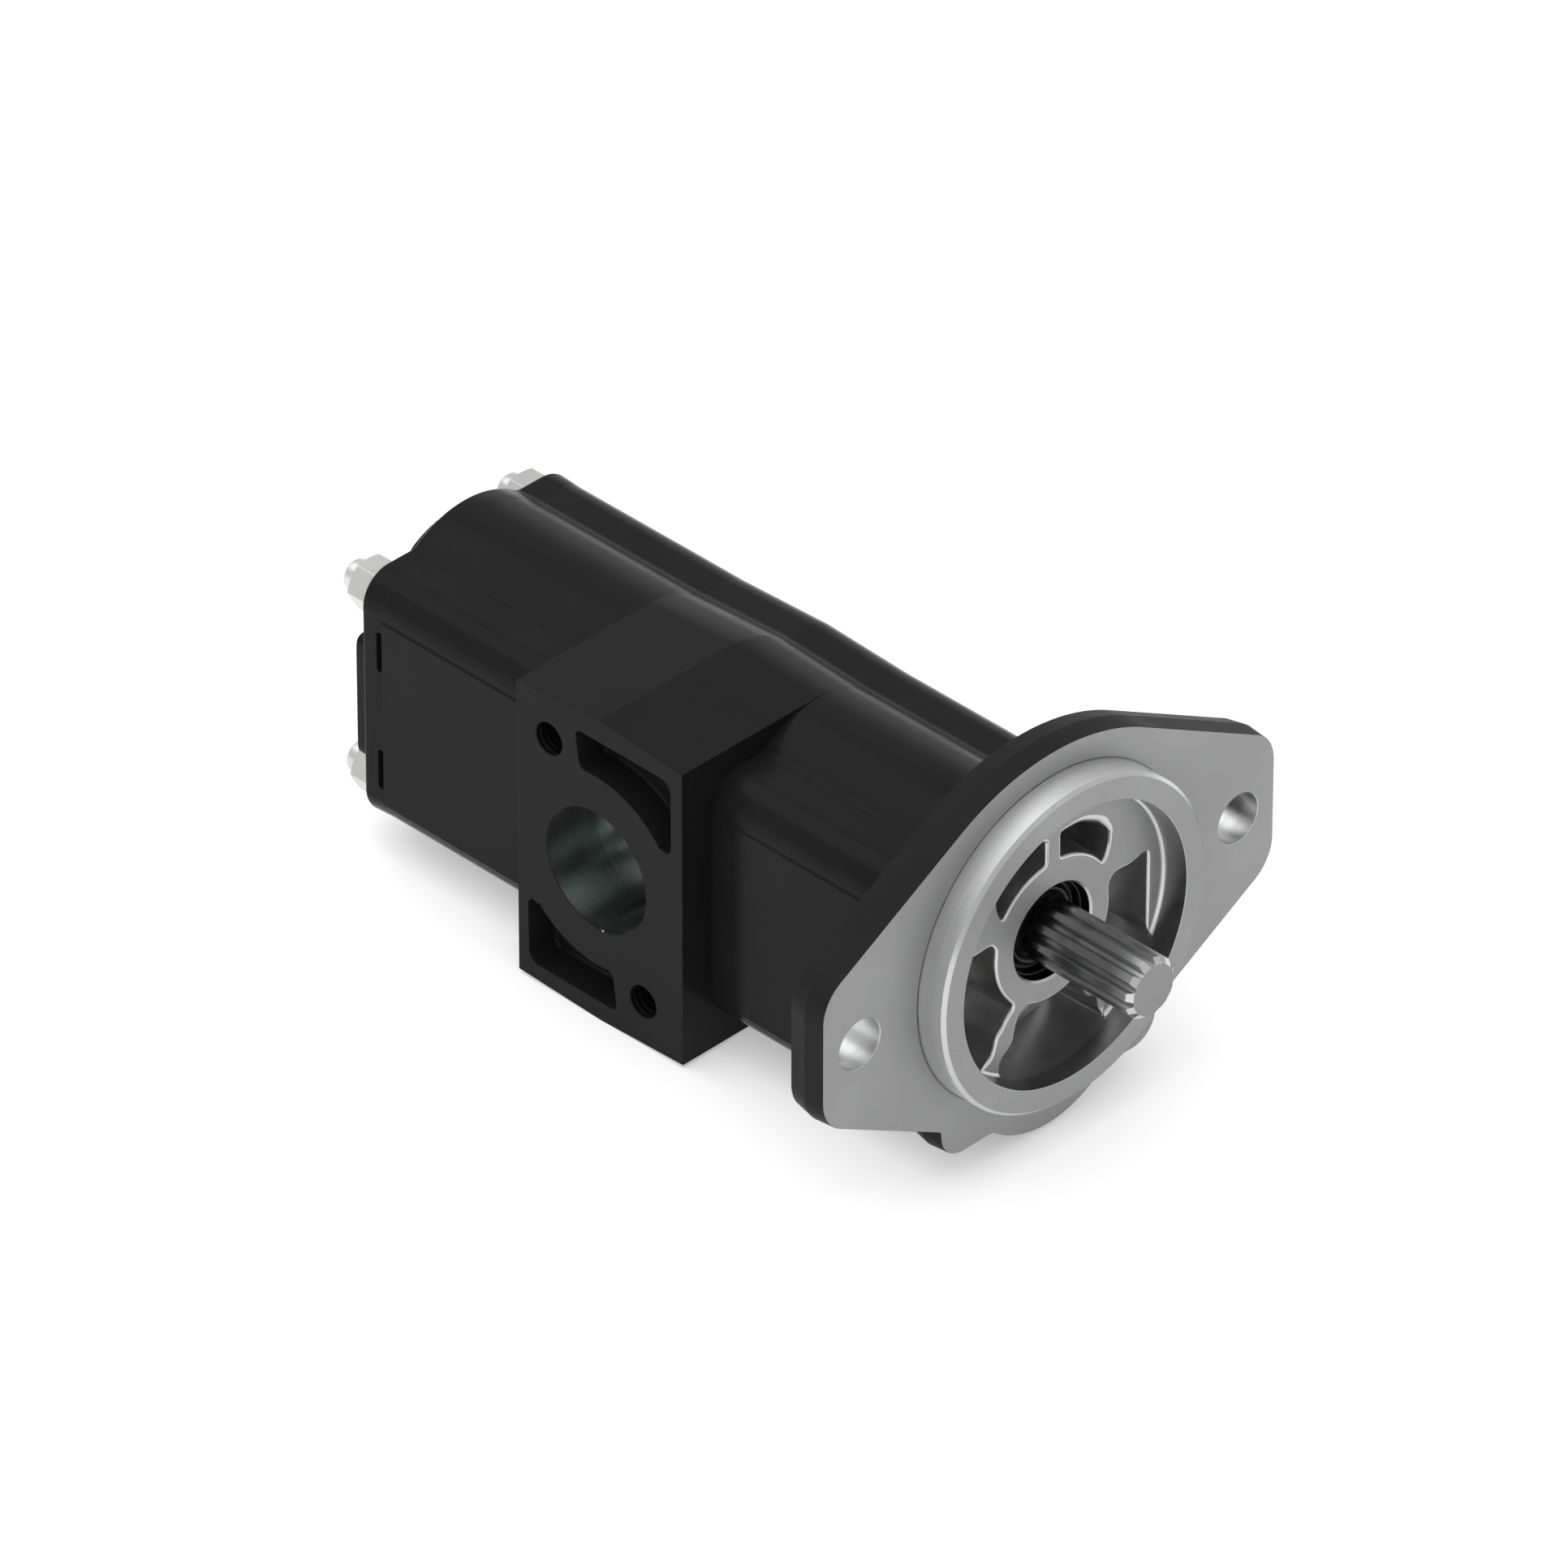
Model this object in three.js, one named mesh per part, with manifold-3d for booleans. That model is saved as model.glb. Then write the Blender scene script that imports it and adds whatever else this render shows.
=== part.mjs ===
// Tandem hydraulic gear pump with a two-bolt SAE B mounting flange, a splined drive shaft, two gear
// sections in line and one port block between them.
// Millimetres. x runs along the shaft, y across and z up. While the pieces are drawn, the drive shaft's
// axis is the line y = z = 0 and the mounting face is the plane x = 0, with the shaft end on its +x side.
import * as THREE from "three";
import { mergeVertices } from "three/addons/utils/BufferGeometryUtils.js";
import Module from "manifold-3d";

const wasm = await Module();
wasm.setup();

// ---------------------------------------------------------------- driving dimensions

const GEAR_CENTRES = 32.5; // drive axis above driven axis
const MIDDLE_Z = -GEAR_CENTRES / 2; // mid-height between the two gear axes

// Planes across the pump, from the shaft end to the rear.
const PILOT_FRONT = 9.5;
const SPIDER_FACE = 0.9;
const EAR_BACK = -12.5;
const COVER_BACK = -24.6;
const SECTION_LENGTH = 64.4; // both gear housings are this long
const BLOCK_LENGTH = 63.6;
const REAR_COVER_PLATE = 8;
const REAR_BOSS = 5.5;
const BLOCK_FRONT = COVER_BACK - SECTION_LENGTH;
const BLOCK_BACK = BLOCK_FRONT - BLOCK_LENGTH;
const REAR_HOUSING_BACK = BLOCK_BACK - SECTION_LENGTH;
const REAR_COVER_BACK = REAR_HOUSING_BACK - REAR_COVER_PLATE;

// Outline of the body, across the shaft.
const DOME_R = 31.9; // over each gear
const LOBE_R = 9.9; // over each tie stud
const COVER_LOBE_R = 10.3; // the same on the rear cover, a little proud of the housing
const LOBE_FILLET = 5; // hollow between dome and lobe
const PAD_Y = 39.9; // raised flat pads on both sides
const PAD_TOP = 13.1;
const PAD_BOTTOM = -47.7;
const STUD_Y = 29.4;
const STUD_TOP_Z = 14.8;
const STUD_BOTTOM_Z = -46.3;

// Mounting flange.
const CROWN_R = 71.2; // the crown is struck from below the shaft axis
const CROWN_Z = -12.5;
const EAR_TIP_Y = 86.9;
const EAR_SLOPE = 29.2; // degrees, of the straight edges that run out to the ears
const LOWER_EDGE = 60.2; // distance from the shaft axis to the lower pair of those edges
const EAR_CORNER_R = 13;
const FOOT_Y = 32.9; // rounded foot beside each lower stud
const FOOT_R = 8.65;
const FLANGE_HOLE_Y = 73; // 146 mm between the holes
const FLANGE_HOLE_R = 7.77;
const EDGE_RIDGE = 0.6; // parting ridge round the flange's edge
const BACK_DRAFT = 0.5; // the back of the flange is this much smaller all round
const PILOT_R = 50.8;
const PILOT_CHAMFER = 1;
const PILOT_INNER_R = 43;
const PILOT_GROOVE = 0.8; // width and depth of the relief groove at the pilot's foot
const SEAL_BORE_R = 14.7;
const SEAL_BORE_BACK = -9;
const POCKET_FLOOR = -20;
const POCKET_HUB_R = 21.8;
const SLOT_FLOOR = -17;
const SLOT_OUTER_R = 33;
const SLOT_SLOPE = 4.5; // how far a slot's outer wall comes in from mouth to floor
const SHAFT_CLEARANCE = 0.6; // of the hole behind the seal

// Port block.
const PORT_FACE_Y = -51;
const BLOCK_DOME_R = 32.15;
const BLOCK_RIDGE_TOP = 2.1; // how proud the block's parting ridge is on top of the block
const BLOCK_RIDGE_BOTTOM = 1.2; // the same under it
const BLOCK_RIDGE_FACE = 0.9; // how far the ridge stands out on the side away from the inlet
const BLOCK_RIDGE_OUTER = 0.6; // its height at that side's top and bottom corners
const INLET_X = -122.2;
const INLET_R = 19.05;
const INLET_FLOOR_Y = -6;
const INLET_BOLTS_X = 35.71; // bolt spacing along the shaft
const INLET_BOLTS_Z = 69.85; // bolt spacing up the face
const INLET_BOLT_R = 4.95;
const INLET_BOLT_DEPTH = 13;
const FACE_POCKET_DEPTH = 9.5;
const FACE_POCKET_INNER_R = 31.4; // about the inlet's centre
const FACE_POCKET_TOP = 43.5; // above the inlet's centre
const FACE_POCKET_LEFT = -7.2;
const FACE_POCKET_ENDS = [28.9, 26.5]; // length of the upper one, and of the lower one turned half round
const FACE_POCKET_TIP_R = 2.1;
const FACE_POCKET_CORNER_R = 4;
const FACE_POCKET_HEEL_R = 2.6;

// Rear cover: the raised boss on its back, and the slots at its joint for a pry bar.
const BOSS_DOME_R = 25.2;
const BOSS_NUT_CLEAR_R = 13.4;
const BOSS_CORNER_R = 2.2;
const BOSS_CORNER_Y = 34.8;
const BOSS_CORNER_Z = [-0.6, -36.9];
const PRY_SLOT_WIDTH = 2.5;
const PRY_SLOT_HEIGHT = 13.4;
const PRY_SLOT_DEPTH = 2.8;
const PRY_SLOT_Z = [2.8, -36.6];

// Outlet of each gear section.
const OUTLET_R = 12.3;
const OUTLET_SPOT_R = 17.5;
const OUTLET_SPOT_DEPTH = 0.8;

// Tie studs, nuts and dowels.
const STUD_R = 4.75;
const STUD_HOLE_R = 5.1;
const STUD_FRONT = -8;
const STUD_BACK = -238.5;
const NUT_FLATS = 14.3;
const NUT_HEIGHT = 8.5;
const DOWEL_R = 3;
const DOWEL_Y = 34;
const DOWEL_Z = -36;
const DOWEL_DEPTH = 6.2;
const DOWEL_END_GAP = 0.25;
const THREAD_CHAMFER = 1; // on both ends of a stud
const NUT_CHAMFER = 0.9;

// Gears and what carries them.
const TEETH = 12;
const PRESSURE_ANGLE = THREE.MathUtils.degToRad(25);
const PITCH_R = GEAR_CENTRES / 2;
const MODULE = GEAR_CENTRES / TEETH;
const BACKLASH = 0.24;
const DEDENDUM = 1.22; // in modules
const CHAMBER_R = 19.13;
const BEARING_BLOCK_R = 19;
const BEARING_BLOCK = 19;
const WEAR_PLATE = 2.2;
const END_FLOAT = 0.1;
const JOURNAL_R = 10;
const JOURNAL_CHAMFER = 0.6;
const BEARING_R = 10.06;
const SUCTION_Y = -16;
const SUCTION_R = 8;
const SEAL_LOOP_R = 24.6; // inner radius of the section seals, round each gear axis
const SEAL_LOOP_WIDTH = 1.6;
const SEAL_LOOP_DEPTH = 1.6;
const FIT = 0.05; // clearance of a piece that just drops in

// Splines: the shaft's drive end, and the smaller one that joins the two sections.
const SHAFT_END = 38.3;
const SHAFT_CHAMFER = 1.8;
const SPLINE_TEETH = 11;
const SPLINE_R = 9.3;
const SPLINE_ROOT_R = 7.6;
const SPLINE_TURN = 106.7; // degrees, where its first tooth stands at rest
const SPLINE_START = -0.8;
const COUPLING_TEETH = 8;
const COUPLING_R = 6.4;
const COUPLING_ROOT_R = 5.1;
const COUPLING_REACH = 15; // how far it goes into each gear
const COUPLING_CLEARANCE = 0.12;
const COUPLING_PASSAGE_R = 12;
const GEAR_END_GAP = 0.5; // from the end of a journal to the end of its housing

const degrees = THREE.MathUtils.degToRad;

// ---------------------------------------------------------------- materials

const paint = (name) =>
  new THREE.MeshStandardMaterial({ name, color: 0x1c1c1c, roughness: 0.35, metalness: 0.1 });
const metal = (name, color, roughness) =>
  new THREE.MeshStandardMaterial({ name, color, roughness, metalness: 0.9 });
const rubber = (name) =>
  new THREE.MeshStandardMaterial({ name, color: 0x151515, roughness: 0.8, metalness: 0 });

// ---------------------------------------------------------------- solids

// A closed geometry as a manifold-3d solid.
function solidOf(geometry) {
  const bare = geometry.clone();
  bare.deleteAttribute("normal");
  bare.deleteAttribute("uv");
  const merged = mergeVertices(bare, 1e-4);
  return new wasm.Manifold(
    new wasm.Mesh({
      numProp: 3,
      vertProperties: merged.attributes.position.array,
      triVerts: new Uint32Array(merged.index.array),
    }),
  );
}

function geometryOf(solid) {
  const made = solid.getMesh();
  const geometry = new THREE.BufferGeometry();
  geometry.setAttribute("position", new THREE.BufferAttribute(made.vertProperties, 3));
  geometry.setIndex(new THREE.BufferAttribute(made.triVerts, 1));
  geometry.computeVertexNormals();
  return geometry;
}

const joined = (...solids) => solids.reduce((a, b) => a.add(b));
const cut = (solid, ...tools) => tools.reduce((a, b) => a.subtract(b), solid);

function named(name, solid, material) {
  const mesh = new THREE.Mesh(geometryOf(solid), material);
  mesh.name = name;
  return mesh;
}

// ---------------------------------------------------------------- shapes across and along the shaft

const point = (a, b) => new THREE.Vector2(a, b);

// Points along an arc about (a, b), from one angle to another in degrees.
function arc(a, b, radius, from, to, step = 5) {
  const count = Math.max(1, Math.ceil(Math.abs(to - from) / step));
  return Array.from({ length: count + 1 }, (_, i) => {
    const angle = degrees(from + ((to - from) * i) / count);
    return point(a + radius * Math.cos(angle), b + radius * Math.sin(angle));
  });
}

const mirrored = (points) => points.map((p) => point(-p.x, p.y)).reverse();

// An outline drawn across the shaft, as (y, z), made solid from x0 to x1.
function acrossShaft(outline, x0, x1, steps = 1) {
  const shape = new THREE.Shape(outline);
  const geometry = new THREE.ExtrudeGeometry(shape, { depth: x1 - x0, bevelEnabled: false, steps });
  const turn = new THREE.Matrix4().makeBasis(
    new THREE.Vector3(0, 1, 0),
    new THREE.Vector3(0, 0, 1),
    new THREE.Vector3(1, 0, 0),
  );
  geometry.applyMatrix4(turn);
  geometry.translate(x0, 0, 0);
  return geometry;
}

// An outline drawn on a side face, as (x, z), made solid from y0 to y1.
function acrossSide(outline, y0, y1) {
  const shape = new THREE.Shape(outline);
  const geometry = new THREE.ExtrudeGeometry(shape, { depth: y1 - y0, bevelEnabled: false });
  geometry.rotateX(Math.PI / 2);
  geometry.translate(0, y1, 0);
  return geometry;
}

// A round bar along x. A hole is drawn with its flats at the radius, a bar with its corners there.
function bar(radius, x0, x1, y = 0, z = 0, sides = 48) {
  const geometry = new THREE.CylinderGeometry(radius, radius, x1 - x0, sides);
  geometry.rotateZ(-Math.PI / 2);
  geometry.translate((x0 + x1) / 2, y, z);
  return solidOf(geometry);
}

const bore = (radius, x0, x1, y = 0, z = 0, sides = 48) =>
  bar(radius / Math.cos(Math.PI / sides), x0, x1, y, z, sides);

function sideBore(radius, y0, y1, x, z, sides = 48) {
  const round = radius / Math.cos(Math.PI / sides);
  const geometry = new THREE.CylinderGeometry(round, round, y1 - y0, sides);
  geometry.translate(x, (y0 + y1) / 2, z);
  return solidOf(geometry);
}

// A profile of (radius, x) points turned about the drive axis; it starts and ends on the axis or closes
// on itself.
function turned(profile, sides = 64) {
  const points = profile.map(([radius, x]) => point(radius, x));
  const geometry = new THREE.LatheGeometry(points, sides);
  geometry.rotateZ(-Math.PI / 2);
  const solid = solidOf(geometry);
  return solid.volume() > 0 ? solid : solidOf(flipped(geometry));
}

function flipped(geometry) {
  const index = geometry.index.array;
  for (let i = 0; i < index.length; i += 3) {
    const second = index[i + 1];
    index[i + 1] = index[i + 2];
    index[i + 2] = second;
  }
  return geometry;
}

// ---------------------------------------------------------------- body outline

// The left half, from the top of the dome round to the bottom, is the mirror of the right half drawn
// here: dome, hollow, lobe, pad, lobe, hollow, dome.
function bodyHalf(domeR, lobeR, padded) {
  const half = [];
  const lobeTop = STUD_TOP_Z + lobeR;
  const lobeBottom = STUD_BOTTOM_Z - lobeR;
  const upper = hollow(domeR, lobeTop);
  const lower = hollow(domeR, -GEAR_CENTRES - lobeBottom);
  half.push(...arc(0, 0, domeR, 90, upper.angle));
  half.push(...arc(upper.y, upper.z, LOBE_FILLET, upper.angle - 180, -90, 12));
  half.push(...arc(STUD_Y, STUD_TOP_Z, lobeR, 90, 0, 7));
  if (padded) {
    const step = PAD_Y - STUD_Y - lobeR;
    half.push(point(STUD_Y + lobeR, PAD_TOP + step), point(PAD_Y, PAD_TOP));
    half.push(point(PAD_Y, PAD_BOTTOM));
    const turn = THREE.MathUtils.radToDeg(Math.asin((PAD_BOTTOM - step - STUD_BOTTOM_Z) / lobeR));
    half.push(...arc(STUD_Y, STUD_BOTTOM_Z, lobeR, turn, -90, 7));
  } else {
    half.push(...arc(STUD_Y, STUD_BOTTOM_Z, lobeR, 0, -90, 7));
  }
  half.push(...arc(lower.y, -GEAR_CENTRES - lower.z, LOBE_FILLET, 90, 180 - lower.angle, 12));
  half.push(...arc(0, -GEAR_CENTRES, domeR, -lower.angle, -90));
  return half;
}

// Centre of the hollow that touches the dome and the flat at this height above the dome's axis, and the
// angle at which it leaves the dome.
function hollow(domeR, height) {
  const z = height + LOBE_FILLET;
  const y = Math.sqrt((domeR + LOBE_FILLET) ** 2 - z ** 2);
  return { y, z, angle: THREE.MathUtils.radToDeg(Math.atan2(z, y)) };
}

function bodyOutline(lobeR, padded) {
  const right = bodyHalf(DOME_R, lobeR, padded);
  return withoutRepeats([...right, ...mirrored(right)]);
}

function withoutRepeats(points) {
  return points.filter((p, i) => p.distanceTo(points[(i + 1) % points.length]) > 1e-3);
}

// ---------------------------------------------------------------- what several pieces share

const studPlaces = [
  [STUD_Y, STUD_TOP_Z],
  [-STUD_Y, STUD_TOP_Z],
  [-STUD_Y, STUD_BOTTOM_Z],
  [STUD_Y, STUD_BOTTOM_Z],
];
const studHoles = (radius, x0, x1) => joined(...studPlaces.map(([y, z]) => bore(radius, x0, x1, y, z, 16)));
const dowelHoles = (x0, x1) =>
  joined(...[1, -1].map((side) => bore(DOWEL_R + FIT, x0, x1, side * DOWEL_Y, DOWEL_Z, 12)));

// Two equal round bars, one on each gear axis.
const pair = (radius, x0, x1, make = bar, sides = 32) =>
  make(radius, x0, x1, 0, 0, sides).add(make(radius, x0, x1, 0, -GEAR_CENTRES, sides));

// A bar with half-round ends that takes in both gear axes.
function stadium(radius, x0, x1) {
  const outline = [...arc(0, 0, radius, 180, 0, 15), ...arc(0, -GEAR_CENTRES, radius, 0, -180, 15)];
  return solidOf(acrossShaft(outline.reverse(), x0, x1));
}

function sealLoop(x0, x1, slack) {
  const outside = stadium(SEAL_LOOP_R + SEAL_LOOP_WIDTH + slack, x0, x1);
  return outside.subtract(stadium(SEAL_LOOP_R - slack, x0 - 1, x1 + 1));
}

// ---------------------------------------------------------------- shaft end cover

// Right half of the mounting flange: crown arc, straight edge, ear, straight edge, foot, lower dome.
function flangeHalf() {
  const slope = degrees(EAR_SLOPE);
  const upperEdge = CROWN_R + CROWN_Z * Math.cos(slope);
  // An ear's corners lie EAR_CORNER_R inside both its slanting edge and its tip.
  const cornerY = EAR_TIP_Y - EAR_CORNER_R;
  const cornerZ = (edge) => (edge - EAR_CORNER_R - cornerY * Math.sin(slope)) / Math.cos(slope);
  const footSide = FOOT_Y + FOOT_R;
  const footTop = -(LOWER_EDGE - footSide * Math.sin(slope)) / Math.cos(slope);
  const footZ = STUD_BOTTOM_Z - LOBE_R + FOOT_R;
  const lower = hollow(DOME_R, -GEAR_CENTRES - STUD_BOTTOM_Z + LOBE_R);
  return [
    ...arc(0, CROWN_Z, CROWN_R, 90, 90 - EAR_SLOPE, 5),
    ...arc(cornerY, cornerZ(upperEdge), EAR_CORNER_R, 90 - EAR_SLOPE, 0, 8),
    ...arc(cornerY, -cornerZ(LOWER_EDGE), EAR_CORNER_R, 0, EAR_SLOPE - 90, 8),
    point(footSide, footTop),
    ...arc(FOOT_Y, footZ, FOOT_R, 0, -90, 11),
    ...arc(lower.y, -GEAR_CENTRES - lower.z, LOBE_FILLET, 90, 180 - lower.angle, 12),
    ...arc(0, -GEAR_CENTRES, DOME_R, -lower.angle, -90),
  ];
}

// The flange plate, with a parting ridge half-way through its edge.
function flangePlate() {
  const right = flangeHalf();
  const outline = withoutRepeats([...right, ...mirrored(right)]).reverse();
  const geometry = acrossShaft(outline, EAR_BACK, 0, 2);
  moveOut(geometry, EAR_BACK / 2, EDGE_RIDGE);
  moveOut(geometry, EAR_BACK, -BACK_DRAFT);
  return solidOf(geometry);
}

// Moves the vertices of one plane across the shaft outwards from the drive axis.
function moveOut(geometry, x, by) {
  const place = geometry.getAttribute("position");
  for (let i = 0; i < place.count; i += 1) {
    if (Math.abs(place.getX(i) - x) < 0.01) {
      const y = place.getY(i);
      const z = place.getZ(i);
      const grown = 1 + by / Math.hypot(y, z);
      place.setY(i, y * grown);
      place.setZ(i, z * grown);
    }
  }
}

// The pilot ring and the spider's face inside it.
function pilot() {
  return turned([
    [0, -1],
    [PILOT_R, -1],
    [PILOT_R, PILOT_FRONT - PILOT_CHAMFER],
    [PILOT_R - PILOT_CHAMFER, PILOT_FRONT],
    [PILOT_INNER_R + 0.1, PILOT_FRONT],
    [PILOT_INNER_R, SPIDER_FACE + 2],
    [PILOT_INNER_R - 0.6, SPIDER_FACE + 0.6],
    [PILOT_INNER_R - 2, SPIDER_FACE],
    [0, SPIDER_FACE],
  ], 72);
}

// Cast pockets of the spider, drawn for the right half as (y, z); the left half mirrors them.
function sidePocket() {
  return [
    point(37.9, 5.6),
    point(36.2, 7.6),
    ...new THREE.SplineCurve([
      point(33, 7.3),
      point(29.4, 6.6),
      point(25.6, 7.2),
      point(23.2, 6.2),
    ]).getPoints(6),
    ...arc(0, 0, POCKET_HUB_R + 0.4, 12, -47, 8),
    ...new THREE.SplineCurve([
      point(15.9, -18),
      point(18.3, -20.6),
      point(20.6, -23.2),
      point(23, -25.6),
      point(23.4, -28.4),
      point(26.2, -31.2),
    ]).getPoints(10),
    ...arc(0, 0, PILOT_INNER_R - 1.2, -50, -25, 8),
    point(37.9, -17.2),
  ];
}

function lowerPocket() {
  const right = [
    ...arc(0, 0, POCKET_HUB_R, -90, -66, 8),
    ...new THREE.SplineCurve([
      point(11, -20.8),
      point(12.8, -22.6),
      point(13.6, -25.6),
      point(14.2, -28.6),
      point(17.4, -31.8),
      point(18.6, -36.6),
    ]).getPoints(10),
    ...arc(0, 0, PILOT_INNER_R - 1.2, -64, -90, 8),
  ];
  return withoutRepeats([...right, ...mirrored(right)]);
}

function slotPocket() {
  return [
    ...arc(0, 0, SLOT_OUTER_R, 83.5, 46, 8),
    point(22.4, 16.6),
    ...arc(0, 0, 22.9, 34, 80, 8),
    point(3.2, 23.4),
  ];
}

function spiderPockets() {
  const deep = [sidePocket(), mirrored(sidePocket()), lowerPocket()];
  const slots = [slotPocket(), mirrored(slotPocket())];
  const mouth = PILOT_FRONT - 4;
  return [
    ...deep.map((outline) => solidOf(acrossShaft(outline, POCKET_FLOOR, mouth))),
    ...slots.map((outline) => slotCutter(outline, mouth)),
  ];
}

// A slot's outer wall slopes in with depth, so that it stays inside the neck's dome.
function slotCutter(outline, mouth) {
  const geometry = acrossShaft(outline, SLOT_FLOOR, mouth, 3);
  const place = geometry.getAttribute("position");
  for (let i = 0; i < place.count; i += 1) {
    const y = place.getY(i);
    const z = place.getZ(i);
    const distance = Math.hypot(y, z);
    const depth = (mouth - place.getX(i)) / (mouth - SLOT_FLOOR);
    if (distance > SLOT_OUTER_R - 1) {
      const pulled = 1 - (depth * SLOT_SLOPE) / distance;
      place.setY(i, y * pulled);
      place.setZ(i, z * pulled);
    }
  }
  return solidOf(geometry);
}

function pilotGroove() {
  return turned([
    [PILOT_R, -PILOT_GROOVE],
    [PILOT_R + PILOT_GROOVE, -PILOT_GROOVE],
    [PILOT_R + PILOT_GROOVE, 1],
    [PILOT_R, 1],
    [PILOT_R, -PILOT_GROOVE],
  ], 72);
}

function shaftEndCover() {
  const neck = solidOf(acrossShaft(bodyOutline(LOBE_R, true), COVER_BACK, EAR_BACK + 1));
  const blank = joined(neck, flangePlate(), pilot());
  return cut(
    blank,
    ...spiderPockets(),
    pilotGroove(),
    bore(SEAL_BORE_R, SEAL_BORE_BACK, PILOT_FRONT),
    bore(JOURNAL_R + SHAFT_CLEARANCE, COVER_BACK - 1, 0, 0, 0, 32),
    bore(FLANGE_HOLE_R, EAR_BACK - 1, 1, FLANGE_HOLE_Y),
    bore(FLANGE_HOLE_R, EAR_BACK - 1, 1, -FLANGE_HOLE_Y),
    studHoles(STUD_R + 0.1, COVER_BACK - 1, STUD_FRONT + 0.5),
    dowelHoles(COVER_BACK - 1, COVER_BACK + DOWEL_DEPTH),
  );
}

// ---------------------------------------------------------------- gear housings

// A gear housing whose inlet end is at x = inletEnd, towards the port block.
function gearHousing(front, inletEnd) {
  const back = front - SECTION_LENGTH;
  const middle = (front + back) / 2;
  const inward = Math.sign(middle - inletEnd);
  const suctionFar = middle + (inward * gearWidth()) / 2;
  const suction = [inletEnd - inward, suctionFar].sort((a, b) => a - b);
  return cut(
    solidOf(acrossShaft(bodyOutline(LOBE_R, true), back, front)),
    pair(CHAMBER_R, back - 1, front + 1, bore, 48),
    bore(SUCTION_R, ...suction, SUCTION_Y, MIDDLE_Z, 24),
    sideBore(OUTLET_R, 0, PAD_Y + 1, middle, MIDDLE_Z, 36),
    sideBore(OUTLET_SPOT_R, PAD_Y - OUTLET_SPOT_DEPTH, PAD_Y + 1, middle, MIDDLE_Z, 36),
    studHoles(STUD_HOLE_R, back - 1, front + 1),
    dowelHoles(back - 1, back + DOWEL_DEPTH),
    dowelHoles(front - DOWEL_DEPTH, front + 1),
    sealLoop(back - 1, back + SEAL_LOOP_DEPTH, FIT),
    sealLoop(front - SEAL_LOOP_DEPTH, front + 1, FIT),
  );
}

// ---------------------------------------------------------------- port block

// How far the block's sides swell out at its parting ridge, half-way along it.
function ridgeShift(y, z) {
  const side = THREE.MathUtils.clamp(y / PAD_Y, 0, 1);
  const height = (z - MIDDLE_Z) / (BLOCK_DOME_R - MIDDLE_Z);
  const middle = height > 0 ? BLOCK_RIDGE_TOP : BLOCK_RIDGE_BOTTOM;
  const lift = THREE.MathUtils.lerp(middle, BLOCK_RIDGE_OUTER, side);
  return { y: BLOCK_RIDGE_FACE * side, z: lift * height };
}

function blockBlank() {
  const right = bodyHalf(BLOCK_DOME_R, LOBE_R, false);
  const top = BLOCK_DOME_R;
  const bottom = -GEAR_CENTRES - BLOCK_DOME_R;
  const outline = withoutRepeats([...right, point(PORT_FACE_Y, bottom), point(PORT_FACE_Y, top)]);
  const geometry = acrossShaft(outline, BLOCK_BACK, BLOCK_FRONT, 2);
  const place = geometry.getAttribute("position");
  for (let i = 0; i < place.count; i += 1) {
    if (Math.abs(place.getX(i) - (BLOCK_BACK + BLOCK_FRONT) / 2) < 0.01) {
      const shift = ridgeShift(place.getY(i), place.getZ(i));
      place.setY(i, place.getY(i) + shift.y);
      place.setZ(i, place.getZ(i) + shift.z);
    }
  }
  return solidOf(geometry);
}

// A cast pocket beside the inlet, about the inlet's centre, as (x, z), out to the given end.
function facePocket(end) {
  const tipR = FACE_POCKET_TIP_R;
  const cornerR = FACE_POCKET_CORNER_R;
  const tipX = end - tipR;
  const tipZ = Math.sqrt((FACE_POCKET_INNER_R + 1.4 * tipR) ** 2 - tipX ** 2);
  const tipAngle = THREE.MathUtils.radToDeg(Math.atan2(tipZ, tipX));
  return [
    ...arc(0, 0, FACE_POCKET_INNER_R, 98, tipAngle, 6),
    ...arc(tipX, tipZ, tipR, tipAngle - 180, 0, 20),
    ...arc(end - cornerR, FACE_POCKET_TOP - cornerR, cornerR, 0, 90, 15),
    ...arc(FACE_POCKET_LEFT + 1.6, FACE_POCKET_TOP - 2, 2, 90, 190, 20),
    ...arc(FACE_POCKET_LEFT + 3.3, FACE_POCKET_INNER_R + 2.4, FACE_POCKET_HEEL_R, 180, 250, 15),
  ];
}

function facePocketCutters() {
  return [1, -1].map((side, i) => {
    const outline = facePocket(FACE_POCKET_ENDS[i]);
    const placed = outline.map((p) => point(INLET_X + side * p.x, MIDDLE_Z + side * p.y));
    return solidOf(acrossSide(withoutRepeats(placed), PORT_FACE_Y - 1, PORT_FACE_Y + FACE_POCKET_DEPTH));
  });
}

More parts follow.
